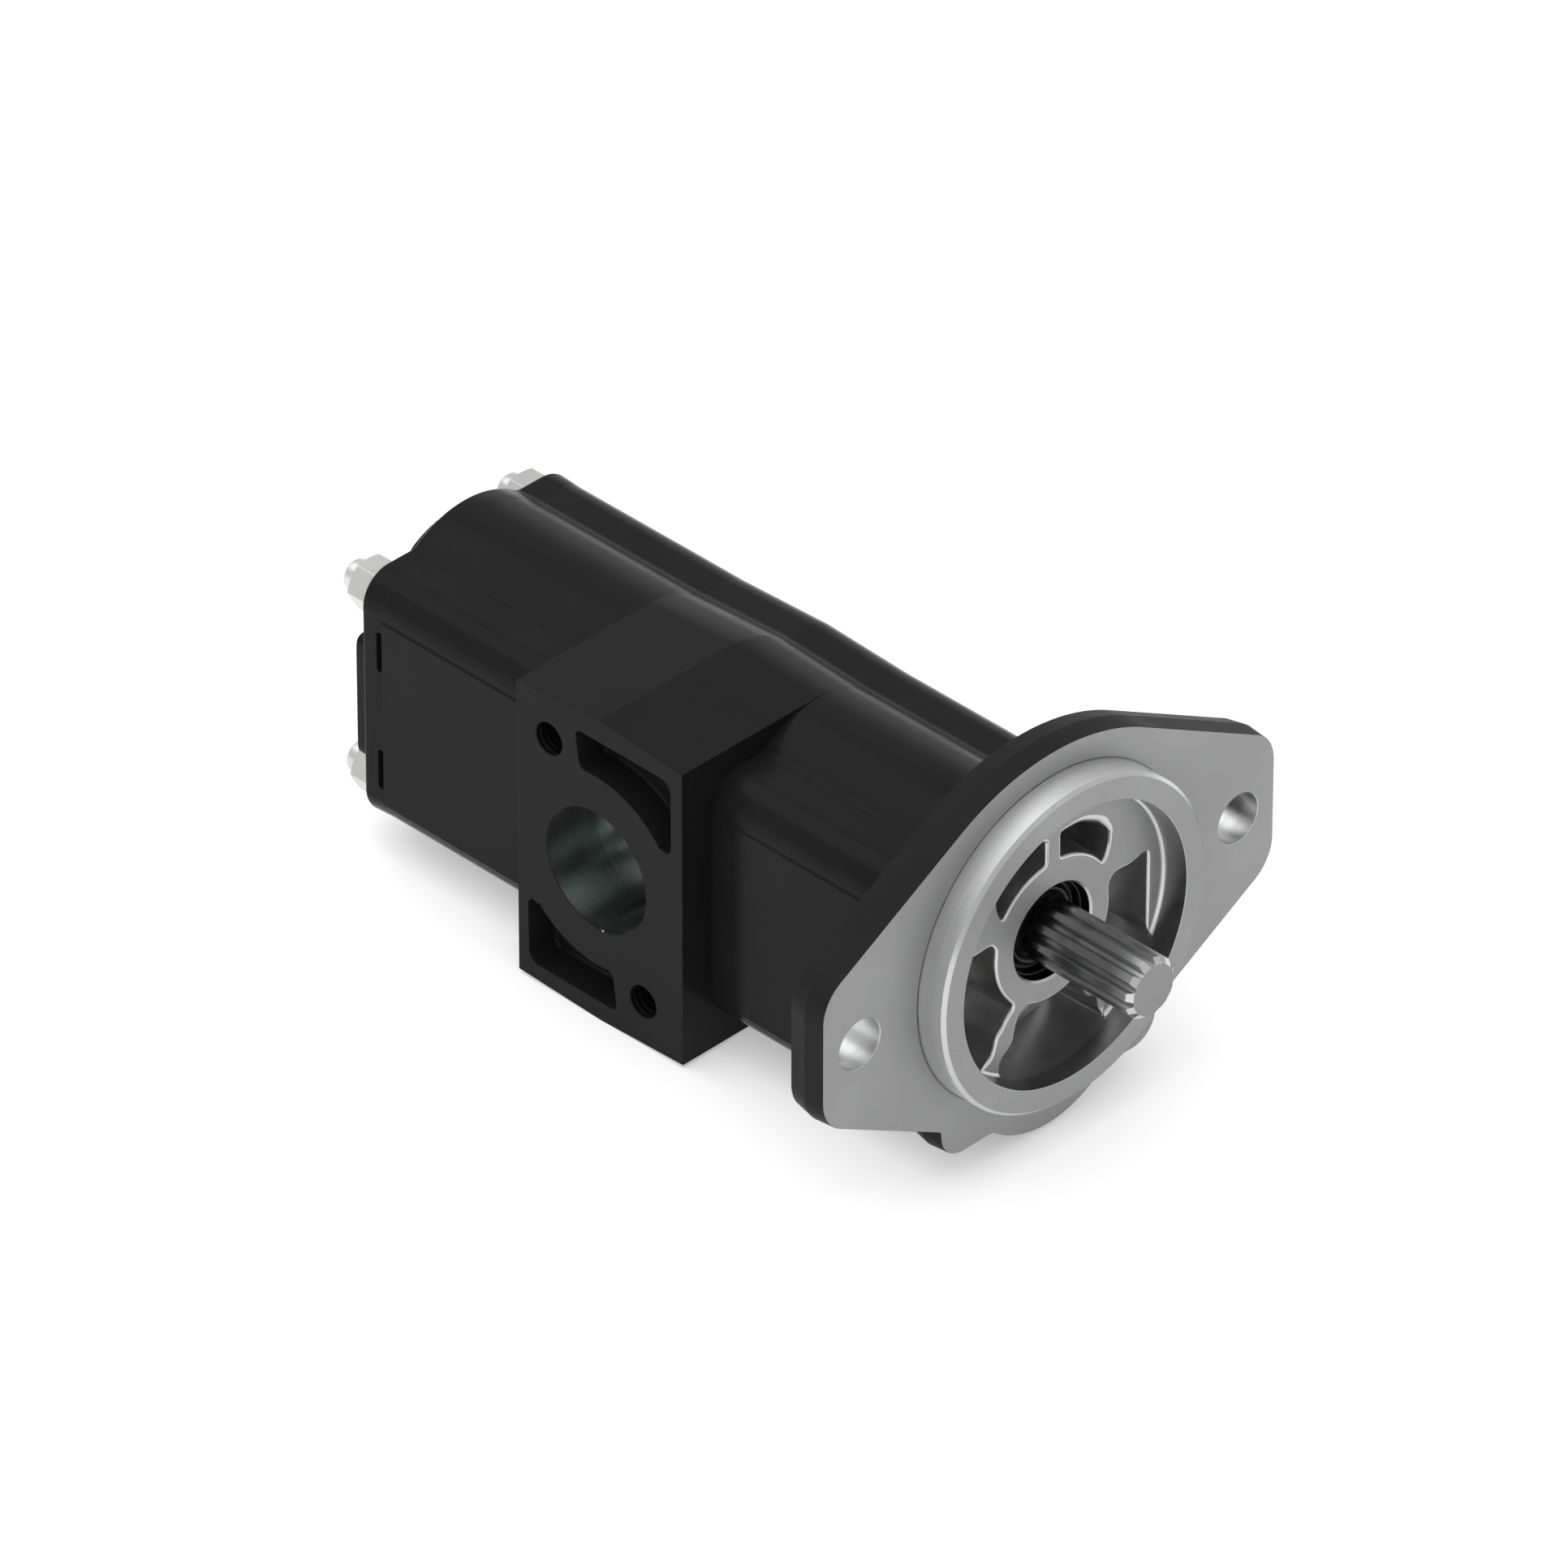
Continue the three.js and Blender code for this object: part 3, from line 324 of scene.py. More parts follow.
def mixed(tree, factor, first, second):
    """Between two colours, each a value or another node's output."""
    mix = tree.nodes.new("ShaderNodeMix")
    mix.data_type = "RGBA"
    for name, given in (("A", first), ("B", second)):
        if isinstance(given, tuple):
            mix.inputs[name].default_value = given
        else:
            tree.links.new(given, mix.inputs[name])
    tree.links.new(factor, mix.inputs["Factor"])
    return mix.outputs["Result"]


def edge_wear(tree, width):
    """1 on the edges themselves, 0 a little way in from them."""
    bevel = tree.nodes.new("ShaderNodeBevel")
    bevel.samples = 4
    bevel.inputs["Radius"].default_value = width
    geometry = tree.nodes.new("ShaderNodeNewGeometry")
    dot = tree.nodes.new("ShaderNodeVectorMath")
    dot.operation = "DOT_PRODUCT"
    tree.links.new(bevel.outputs["Normal"], dot.inputs[0])
    tree.links.new(geometry.outputs["Normal"], dot.inputs[1])
    return ramp(tree, dot.outputs["Value"], 1, 0, 0.86, 0.99)


def times(tree, a, b):
    made = tree.nodes.new("ShaderNodeMath")
    made.operation = "MULTIPLY"
    tree.links.new(a, made.inputs[0])
    tree.links.new(b, made.inputs[1])
    return made.outputs["Value"]


def black_paint(name, value=0.011, specular=0.055, roughness=(0.2, 0.25)):
    """Satin paint, a little cloudy and pocked, and paler where its edges are worn."""
    material, tree, shader = surface(name, colour(value), 0, roughness[0], specular)
    wear = times(tree, edge_wear(tree, 0.0003), ramp(tree, noise(tree, 240, 3), 0.1, 0.7, 0.42, 0.62))
    tone = mixed(tree, ramp(tree, noise(tree, 30, 4), 0, 1), colour(value * 0.94), colour(value * 1.06))
    tree.links.new(mixed(tree, wear, tone, colour(value * 2.1)), shader.inputs["Base Color"])
    tree.links.new(ramp(tree, noise(tree, 70, 3), *roughness), shader.inputs["Roughness"])
    soft = bumped(tree, shader, noise(tree, 60, 2), 0.00003)
    bumped(tree, shader, noise(tree, 700, 2), 0.000004, under=soft)
    return material


def along_x(tree, start, end):
    """0 up to start and 1 from end on, measured along the pump in the drawing's millimetres."""
    coordinates = tree.nodes.new("ShaderNodeTexCoord")
    parts = tree.nodes.new("ShaderNodeSeparateXYZ")
    tree.links.new(coordinates.outputs["Object"], parts.inputs["Vector"])
    return ramp(tree, parts.outputs["X"], 0, 1, (start + SHIFT_X) / 1000, (end + SHIFT_X) / 1000)


def machined(name, value, roughness, tint=(1, 1.004, 1.01), scale=(1, 1, 1), shade_range=None, metallic=1):
    """Bare metal with fine cuts drawn out by scale; the last argument is the x range over which a painted
    shade ends: below it the colour goes near black, standing in for the shadow inside the seal bore.
    """
    material, tree, shader = surface(name, colour(value, tint), metallic, roughness)
    cuts = noise(tree, 1500, 3, 0.6, scale)
    cloud = noise(tree, 22, 4)
    tone = mixed(tree, ramp(tree, cloud, 0, 1), colour(value * 0.93, tint), colour(value * 1.06, tint))
    # Painted shade: the colour fades to near black before the given x range, in place of the shadow in the
    # seal bore.
    if shade_range:
        tone = mixed(tree, along_x(tree, *shade_range), colour(0.06), tone)
    tree.links.new(tone, shader.inputs["Base Color"])
    tree.links.new(ramp(tree, cuts, roughness * 0.92, roughness * 1.1), shader.inputs["Roughness"])
    bumped(tree, shader, cuts, 0.000001)
    return material


def cast(name, value):
    """Clean cast iron: grainy, and slightly uneven."""
    material, tree, shader = surface(name, colour(value), 1, 0.3)
    grain = noise(tree, 420, 5)
    tone = mixed(tree, ramp(tree, noise(tree, 60, 4), 0, 1), colour(value * 0.9), colour(value * 1.1))
    tree.links.new(tone, shader.inputs["Base Color"])
    tree.links.new(ramp(tree, grain, 0.28, 0.36), shader.inputs["Roughness"])
    soft = bumped(tree, shader, noise(tree, 90, 2), 0.00012, 0.4)
    bumped(tree, shader, grain, 0.000008, under=soft)
    return material


def shaded_hole(name):
    """Painted shade for the inside of a deep hole: an almost black colour standing in for the shadow there,
    instead of the bare metal's own colour.
    """
    material, tree, shader = surface(name, colour(0.003), 0, 0.5, specular=0.1)
    grain = noise(tree, 600, 3)
    tone = mixed(tree, ramp(tree, grain, 0, 1), colour(0.002), colour(0.005))
    tree.links.new(tone, shader.inputs["Base Color"])
    bumped(tree, shader, grain, 0.00001)
    return material


def rubber(name):
    material, tree, shader = surface(name, colour(0.003), 0, 0.26, specular=0.2)
    grain = noise(tree, 900, 4)
    tree.links.new(ramp(tree, noise(tree, 120, 3), 0.22, 0.3), shader.inputs["Roughness"])
    bumped(tree, shader, grain, 0.000003)
    return material


PAINT = black_paint("black_paint")
FLANGE_EDGE = black_paint("black_paint_flange", 0.0135, 0.05, (0.42, 0.5))
FACE = machined("machined_face", 0.265, 0.46, metallic=0.55)
EDGE = machined("cut_edge", 0.52, 0.24)
CAST = cast("cast_pocket", 0.5)
# Painted shade: a darker copy of the cast iron for the ring's inner wall above the pockets' mouths; the same
# wall lower down keeps the plain cast iron.
SHADED_RING_WALL = cast("cast_ring_wall_shaded", 0.34)
TURNED = machined("turned_pilot", 0.63, 0.5, scale=(0.6, 0.02, 0.02))
BORE = machined("bored_steel", 0.56, 0.34, scale=(0.6, 0.05, 0.05))
INLET = machined("bored_inlet", 0.6, 0.24, (0.93, 1.0, 0.97), scale=(0.02, 0.6, 0.02))
# Painted shade: near black, for deep holes and for the shaft where it lies inside the seal.
HOLE_SHADE = shaded_hole("drilled_hole_shade")
# The splines take a painted shade, darkening to near black where they run into the seal bore.
SPLINE = machined("spline_steel", 0.45, 0.22, scale=(0.02, 1, 1), shade_range=(-9.0, 4.0))
SHAFT_FACE = machined("shaft_end_face", 0.23, 0.4)
GEAR = machined("gear_steel", 0.42, 0.24, scale=(0.1, 1, 1))
ZINC = machined("zinc_plate", 0.6, 0.34, (1, 1.0, 0.99), (0.3, 0.3, 0.3))
ALUMINIUM = machined("bearing_aluminium", 0.6, 0.34)
BRONZE = machined("bearing_bronze", 0.55, 0.3, (1, 0.74, 0.42))
RUBBER = rubber("seal_rubber")


def painted(made, materials, choose):
    """Gives each face the material that choose(x, y, z, normal) names, in the drawing's millimetres."""
    made.data.materials.clear()
    for material in materials:
        made.data.materials.append(material)
    mesh = made.data
    mesh.calc_loop_triangles()
    largest = {}
    for triangle in mesh.loop_triangles:
        if triangle.area > largest.get(triangle.polygon_index, (0, None))[0]:
            corners = [mesh.vertices[i].co for i in triangle.vertices]
            largest[triangle.polygon_index] = (triangle.area, sum(corners, Vector()) / 3)
    for face in mesh.polygons:
        c = largest.get(face.index, (0, face.center))[1] * 1000
        face.material_index = materials.index(choose(c.x - SHIFT_X, c.y, c.z - SHIFT_Z, face.normal))


def stand_in(made, node, body="pump_body"):
    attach(made, body)
    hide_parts(node)


# ------------------------------------------------------------------ body outline
def hollow(dome_r, height):
    """Centre of the fillet between a dome and the top of a lobe, and its angle about the dome's centre."""
    z = height + LOBE_FILLET
    y = math.sqrt((dome_r + LOBE_FILLET) ** 2 - z ** 2)
    return y, z, math.degrees(math.atan2(z, y))


def body_half(dome_r, lobe_r, padded):
    """The +y half of the pump's section, from top to bottom."""
    upper = hollow(dome_r, STUD_TOP_Z + lobe_r)
    lower = hollow(dome_r, -GEAR_CENTRES - STUD_BOTTOM_Z + lobe_r)
    half = arc(0, 0, dome_r, 90, upper[2], 2.5)
    half += arc(upper[0], upper[1], LOBE_FILLET, upper[2] - 180, -90, 6)
    if padded:
        step = PAD_Y - STUD_Y - lobe_r
        half += arc(STUD_Y, STUD_TOP_Z, lobe_r, 90, 2, 4)
        half += [(STUD_Y + lobe_r, PAD_TOP + 0.65), (PAD_Y - 0.05, PAD_TOP + 0.12), (PAD_Y, PAD_TOP)]
        half += [(PAD_Y, PAD_BOTTOM), (PAD_Y - 0.05, PAD_BOTTOM - 0.12)]
        turn = math.degrees(math.asin((PAD_BOTTOM - step - 0.4 - STUD_BOTTOM_Z) / lobe_r))
        half += arc(STUD_Y, STUD_BOTTOM_Z, lobe_r, turn, -90, 4)
    else:
        half += arc(STUD_Y, STUD_TOP_Z, lobe_r, 90, 0, 4)
        half += arc(STUD_Y, STUD_BOTTOM_Z, lobe_r, 0, -90, 4)
    half += arc(lower[0], -GEAR_CENTRES - lower[1], LOBE_FILLET, 90, 180 - lower[2], 6)
    half += arc(0, -GEAR_CENTRES, dome_r, -lower[2], -90, 2.5)
    return half


def body_outline(lobe_r, padded):
    right = body_half(DOME_R, lobe_r, padded)
    return cleaned(right + mirrored(right))


def edged(outline, x0, x1, edge0, edge1):
    """Rows along x for an outline whose two end edges are rounded off by edge0 and edge1."""
    rows = []
    for s, c in quarter(0, 30, 60, 90):
        rows.append(across(grown(outline, -edge0 * (1 - s)), x0 + edge0 * (1 - c)))
    for s, c in quarter(90, 60, 30, 0):
        rows.append(across(grown(outline, -edge1 * (1 - s)), x1 - edge1 * (1 - c)))
    return rows


def stud_holes(radius, x0, x1):
    return [turned("stud hole", [(radius, x0), (radius, x1)], y, z, 32) for y, z in STUD_PLACES]


def dowel_holes(x):
    """Cutters for the two dowel holes at the joint face x."""
    profile = [(DOWEL_HOLE_R, x - DOWEL_HOLE_DEPTH), (DOWEL_HOLE_R, x + DOWEL_HOLE_DEPTH)]
    return [turned("dowel hole", profile, y, DOWEL_Z, 24) for y in (DOWEL_Y, -DOWEL_Y)]


# ------------------------------------------------------------------ shaft end cover
def flange_half():
    """The +y half of the flange, from top to bottom: crown, ear, foot and lower dome."""
    slope = math.radians(EAR_SLOPE)
    upper = CROWN_R + CROWN_Z * math.cos(slope)
    corner_y = EAR_TIP_Y - EAR_CORNER_R

    def corner_z(edge):
        return (edge - EAR_CORNER_R - corner_y * math.sin(slope)) / math.cos(slope)

    foot_side = FOOT_Y + FOOT_R
    foot_top = -(LOWER_EDGE - foot_side * math.sin(slope)) / math.cos(slope)
    lower = hollow(DOME_R, -GEAR_CENTRES - STUD_BOTTOM_Z + LOBE_R)
    half = arc(0, CROWN_Z, CROWN_R, 90, 90 - EAR_SLOPE, 1.5)
    half += arc(corner_y, corner_z(upper), EAR_CORNER_R, 90 - EAR_SLOPE, 0, 4)
    half += arc(corner_y, -corner_z(LOWER_EDGE), EAR_CORNER_R, 0, EAR_SLOPE - 90, 4)
    half += [(foot_side + 1.0, foot_top + 0.55), (foot_side + 0.25, foot_top - 0.1)]
    half += arc(FOOT_Y, STUD_BOTTOM_Z - LOBE_R + FOOT_R, FOOT_R, -3, -90, 5)
    half += arc(lower[0], -GEAR_CENTRES - lower[1], LOBE_FILLET, 90, 180 - lower[2], 6)
    half += arc(0, -GEAR_CENTRES, DOME_R, -lower[2], -90, 2.5)
    return half


def flange_plate():
    """The plate, with the casting's parting ridge round the middle of its edge."""
    right = flange_half()
    outline = cleaned(right + mirrored(right))
    ridge = EAR_BACK / 2
    rows = [across(grown(outline, by), x) for by, x in (
        (-0.66, EAR_BACK), (-0.55, EAR_BACK + 0.12), (0.48, ridge - 0.55), (0.55, ridge - 0.2),
        (0.56, ridge), (0.53, ridge + 0.3), (0.48, ridge + 0.7), (0, -0.12), (-0.1, 0),
    )]
    return skinned("flange_cover", rows)


def pocket_cutter(outline, floor, draft, floor_r, flare, mouth, spacing=1.1):
    """A cast pocket: rounded floor, sloping wall and a mouth that flares out by flare(y, z)."""
    outline = smoothed(resampled(cleaned(outline), spacing), 2)
    flares = [flare(y, z) for y, z in outline]
    for _ in range(4):
        flares = [(flares[i - 1] + 2 * f + flares[(i + 1) % len(flares)]) / 4 for i, f in enumerate(flares)]
    drafts = [0.3 + (draft - 0.3) * clamped((42 - math.hypot(y, z)) / 2) for y, z in outline]
    rows = []
    for s, c in quarter(0, 22.5, 45, 67.5, 90):
        inset = [-d - floor_r * (1 - s) for d in drafts]
        rows.append(across(grown(outline, inset), floor + floor_r * (1 - c)))
    for s, c in quarter(90, 67.5, 45, 22.5, 0):
        edge = grown(outline, [f * (1 - s) for f in flares])
        rows.append([place(SPIDER_FACE - max(f, 0.05) * (1 - c), y, z) for f, (y, z) in zip(flares, edge)])
    rows.append(across(grown(outline, flares), mouth))
    return skinned("pocket", rows)


def side_pocket():
    """The pocket on the +y side: ring wall, short top edge, hub and lower arm."""
    return (
        [(37.1, -18.6), (36.8, -17.4), (36.8, 7.0)]
        + spline([(36.4, 7.9), (35.1, 8.1), (33, 7.6), (29.8, 6.9), (26, 7.3), (23.6, 6.9), (22.1, 5.0)])
        + arc(0, 0, 22.2, 9, -38, 4)
        + spline([(15.5, -16.2), (15.3, -17.8), (17.6, -19.9), (19.4, -22.3), (21.6, -24.4), (22.5, -27.6),
                  (23.9, -30.2), (27.3, -32.2)])
        + arc(0, 0, PILOT_INNER_R + 0.02, -49, -27.5, 3)
    )


def lower_pocket():
    """Its two arms are not quite alike: the right one has a lump near the ring."""
    left = spline([(10.8, -20.2), (12.8, -22), (14.1, -25.6), (14.6, -28.4), (16.3, -30.6), (18.9, -32.4),
                   (20.0, -35.4), (20.4, -37.8)])
    right = spline([(10.6, -20.4), (12.2, -22.4), (13.0, -25.2), (13.5, -27.9), (15.0, -30.1), (17.0, -31.1),
                    (18.7, -33.2), (18.9, -35.6), (19.8, -37.8)])
    hub = arc(0, 0, 21.8, -90, -63, 4)
    return (
        hub + right + arc(0, 0, PILOT_INNER_R + 0.02, -62.5, -90, 3)
        + mirrored(hub + left + arc(0, 0, PILOT_INNER_R + 0.02, -61.5, -90, 3))
    )


def slot_pocket():
    """A curved slot above the hub, on the +y side."""
    return (
        arc(0, 0, 31.3, 84.7, 46, 4) + [(21.5, 18.0), (19.8, 13.7)]
        + arc(0, 0, 23.4, 35, 83, 4) + [(2.9, 24.2), (2.9, 30.6)]
    )


def rim_flare(y, z):
    """No flare where the pocket's wall runs on into the pilot ring."""
    return 0.9 * clamped((PILOT_INNER_R - 0.8 - math.hypot(y, z)) / 1.2)


def lump_flare(y, z):
    """Wider along the right arm's outer half."""
    return rim_flare(y, z) * (1 + 1.5 * clamped((y - 10) / 3) * clamped((-24 - z) / 3))


def slot_flare(y, z):
    """Widest in the middle of the side away from the shaft."""
    outer = clamped((math.hypot(y, z) - 29.0) / 2)
    angle = math.degrees(math.atan2(z, abs(y)))
    middle = clamped((angle - 45) / 9) * clamped((86 - angle) / 16)
    return 0.8 + 2.4 * outer * middle


def shaft_end_cover():
    made = flange_plate()
    neck = skinned("neck", edged(body_outline(LOBE_R, True), COVER_BACK, EAR_BACK + 1, 0.02, 0.01))
    inner, root, chamfer = PILOT_INNER_R, 1.3, 1.05
    fillet = [(inner - root * (1 - c), SPIDER_FACE + root * (1 - s)) for s, c in quarter(*range(0, 91, 15))]
    ring = turned("ring", [
        (PILOT_R, -3), (PILOT_R, PILOT_FRONT - chamfer), (PILOT_R - chamfer, PILOT_FRONT),
        (inner + 0.1, PILOT_FRONT), (inner, PILOT_FRONT - 0.1), *fillet, (30, SPIDER_FACE), (30, -3),
    ], sides=192, closed=True)
    disc = turned("disc", [(31, -3), (31, SPIDER_FACE)], sides=96)
    plus(made, neck, ring, disc)
    groove = turned("groove", [
        (PILOT_R, -0.6), (PILOT_R + 0.3, -0.6), (PILOT_R + 0.33, -0.22),
        (PILOT_R + 0.55, 0), (PILOT_R + 0.6, 1), (PILOT_R, 1),
    ], sides=192, closed=True)
    cutters = [groove]
    mouth = SPIDER_FACE + 2.3
    side, slot = side_pocket(), slot_pocket()
    for points, flare in ((side, rim_flare), (mirrored(side), rim_flare), (lower_pocket(), lump_flare)):
        cutters.append(pocket_cutter(points, POCKET_FLOOR, 1.9, 3.0, flare, mouth))
    for points in (slot, mirrored(slot)):
        cutters.append(pocket_cutter(points, SLOT_FLOOR, 1.1, 1.4, slot_flare, mouth, 0.8))
    cutters.append(turned("seal bore", [
        (SEAL_BORE_R, SEAL_BORE_BACK), (SEAL_BORE_R, SPIDER_FACE - 0.6), (SEAL_BORE_R + 0.6, SPIDER_FACE),
        (SEAL_BORE_R + 0.6, 4),
    ]))
    cutters.append(turned("shaft hole", [(JOURNAL_R + 0.6, COVER_BACK - 1), (JOURNAL_R + 0.6, 0)]))
    r = FLANGE_HOLE_R
    for y in (FLANGE_HOLE_Y, -FLANGE_HOLE_Y):
        cutters.append(turned("bolt hole", [
            (r + 1.4, EAR_BACK - 1), (r + 0.4, EAR_BACK), (r, EAR_BACK + 0.4),
            (r, -0.15), (r + 0.15, 0), (r + 1.15, 1),
        ], y=y, sides=72))
    cutters += stud_holes(STUD_R + 0.1, COVER_BACK - 1, STUD_FRONT + 0.5)
    cutters += dowel_holes(COVER_BACK)
    minus(made, *cutters)

    def choose(x, y, z, normal):
        radius = math.hypot(y, z)
        if abs(math.hypot(abs(y) - FLANGE_HOLE_Y, z) - FLANGE_HOLE_R) < 0.6:
            return BORE
        if radius < PILOT_INNER_R + 0.2 and POCKET_FLOOR - 0.5 < x < mouth:
            # Painted shade: the seal bore's wall gets the near-black hole colour.
            if radius < SEAL_BORE_R + 0.3 and x < SPIDER_FACE - 0.4:
                return HOLE_SHADE
            if normal.x > 0.995 and x > SPIDER_FACE - 0.05:
                return FACE
            if normal.x > 0.2 and x > SPIDER_FACE - 2.6:
                return EDGE
            return CAST
        # Painted shade: the ring's inner wall above the pockets' mouths takes the darker copy of the cast
        # iron.
        if radius < PILOT_INNER_R + 0.05 and x > 0:
            return SHADED_RING_WALL
        if radius < PILOT_R + 0.1 and x > -0.9 and abs(normal.x) < 0.3:
            return TURNED
        if x > -0.9 and radius < PILOT_R + 2 or x > -0.02 and normal.x > 0.9:
            return EDGE if 0.3 < normal.x < 0.95 else FACE
        return FLANGE_EDGE if x > EAR_BACK + 0.05 else PAINT

    painted(made, [FACE, EDGE, CAST, SHADED_RING_WALL, BORE, HOLE_SHADE, TURNED, PAINT, FLANGE_EDGE], choose)
    stand_in(polished(made), "shaft_end_cover")


# ------------------------------------------------------------------ gear housings, block and rear cover
def chamber_outline(radius):
    """Two arcs about the gears' centres, of 75 steps each for every radius."""
    waist = math.degrees(math.asin(GEAR_CENTRES / 2 / radius))
    step = (180 + 2 * waist) / 74.5
    upper = arc(0, 0, radius, -waist, 180 + waist, step)
    return cleaned(upper + arc(0, -GEAR_CENTRES, radius, 180 - waist, 360 + waist, step))


def threaded(radius, outer, start, end, pitch, mouth):
    """Profile of a tapped hole from its floor at start to its face at end; mouth is the chamfer."""
    way = 1 if end > start else -1
    turns = int((abs(end - start) - mouth) / pitch)
    profile = [(radius, start)]
    for i in range(turns):
        at = start + way * (abs(end - start) - mouth - (turns - i) * pitch)
        for r, share in ((radius, 0.1), (outer, 0.5), (radius, 0.9)):
            profile.append((r, at + way * share * pitch))
    return profile + [(radius, end - way * mouth), (radius + mouth, end), (radius + mouth, end + way * 2)]


def gear_housing(name, front, inlet_end):
    back = front - SECTION
    middle = (front + back) / 2
    made = skinned(name, edged(body_outline(LOBE_R, True), back, front, 0.02, 0.02))
    inward = 1 if middle > inlet_end else -1
    far = middle + inward * GEAR_WIDTH / 2
    channel = sorted((inlet_end - inward, far))
    outline = chamber_outline(CHAMBER_R)
    spot = PAD_Y - 0.8
    spot_face = [(OUTLET_SPOT_R, spot), (OUTLET_SPOT_R, PAD_Y + 1)]
    thread = threaded(OUTLET_R, OUTLET_R + 0.8, 8, spot, 1.8, 1.2)
    cutters = [
        skinned("chamber", [across(outline, back - 1), across(outline, front + 1)]),
        turned("suction", [(SUCTION_R, x) for x in channel], SUCTION_Y, MIDDLE_Z, 40),
        turned("spot face", spot_face, 0, MIDDLE_Z, 72, side_x=middle),
        turned("outlet", thread, 0, MIDDLE_Z, 72, side_x=middle),
    ]
    cutters += stud_holes(STUD_HOLE_R, back - 1, front + 1)
    inner, outer = chamber_outline(SEAL_GROOVE_INNER_R), chamber_outline(SEAL_GROOVE_OUTER_R)
    for x in (back, front):
        x0, x1 = x - SEAL_GROOVE_DEPTH, x + SEAL_GROOVE_DEPTH
        cutters += dowel_holes(x)
        cutters.append(skinned("seal groove", [
            across(inner, x0), across(outer, x0), across(outer, x1), across(inner, x1),
        ], closed=True))
    minus(made, *cutters)

    def choose(x, y, z, normal):
        at_outlet = math.hypot(x - middle, z - MIDDLE_Z) < OUTLET_SPOT_R + 0.1
        if at_outlet and 19 < y < 39:
            return FACE if normal.y > 0.9 else BORE
        if at_outlet and PAD_Y - 0.9 < y < PAD_Y - 0.5:
            return FACE
        if abs(normal.x) > 0.95 or min(math.hypot(y, z), math.hypot(y, z + GEAR_CENTRES)) < CHAMBER_R + 0.3:
            return FACE
        return PAINT

    painted(made, [PAINT, FACE, BORE], choose)
    stand_in(polished(made), name.replace("_shell", ""))


def block_rows():
    """The block's section along x: square on the port side, and with a parting ridge round its middle."""
    right = []
    for y, z in body_half(DOME_R + 0.03, LOBE_R, False):
        rise = 0.2 * max(0.0, 1 - y / 8)
        right.append((y, z + rise if z > 0 else z - rise))
    outer, edge = PORT_FACE_Y, 0.12
    top, bottom = BLOCK_DOME_R, -GEAR_CENTRES - BLOCK_DOME_R
    corners = [(outer + edge, bottom), (outer, bottom + edge), (outer, top - edge), (outer + edge, top)]
    outline = cleaned(right + corners)
    rows = edged(outline, BLOCK_BACK, BLOCK_FRONT, 0.08, 0.08)
    middle = (BLOCK_BACK + BLOCK_FRONT) / 2

    def ridge(share):
        lifted = []
        for y, z in outline:
            side = clamped(y / PAD_Y)
            height = (z - MIDDLE_Z) / (BLOCK_DOME_R - MIDDLE_Z)
            lift = 2.1 - 1.5 * side if height > 0 else 1.2 - 0.6 * side
            lifted.append((y + share * 0.9 * side, z + share * lift * height))
        return lifted

    between = [across(ridge(s), middle + d) for s, d in ((0.99, -0.6), (1, 0), (0.99, 0.6))]
    return rows[:4] + between + rows[4:]


def face_pocket(end):
    """A cast pocket beside the inlet, as it is seen when the inlet's middle is the origin."""
    tip_r, heel_r, inner_r, top, left = 2.1, 2.6, 31.4, 43.5, -7.2
    tip_x = end - tip_r
    tip_z = math.sqrt((inner_r + 1.4 * tip_r) ** 2 - tip_x ** 2)
    tip = math.degrees(math.atan2(tip_z, tip_x))
    return (
        arc(0, 0, inner_r, 98, tip, 3) + arc(tip_x, tip_z, tip_r, tip - 180, 0, 12)
        + arc(end - 4, top - 4, 4, 0, 90, 10) + arc(left + 1.6, top - 2, 2, 90, 190, 14)
        + arc(left + 3.3, inner_r + 2.4, heel_r, 180, 250, 12)
    )


def face_pocket_cutter(side, end):
    outline = cleaned([(INLET_X + side * a, MIDDLE_Z + side * b) for a, b in face_pocket(end)])
    floor, draft, floor_r = PORT_FACE_Y + 9.5, 0.7, 1.2
    rows = [along_side(outline, PORT_FACE_Y - 1), along_side(outline, PORT_FACE_Y + 0.3)]
    for s, c in quarter(90, 60, 30, 0):
        rows.append(along_side(grown(outline, -draft - floor_r * (1 - s)), floor - floor_r * (1 - c)))
    return skinned("face pocket", rows)


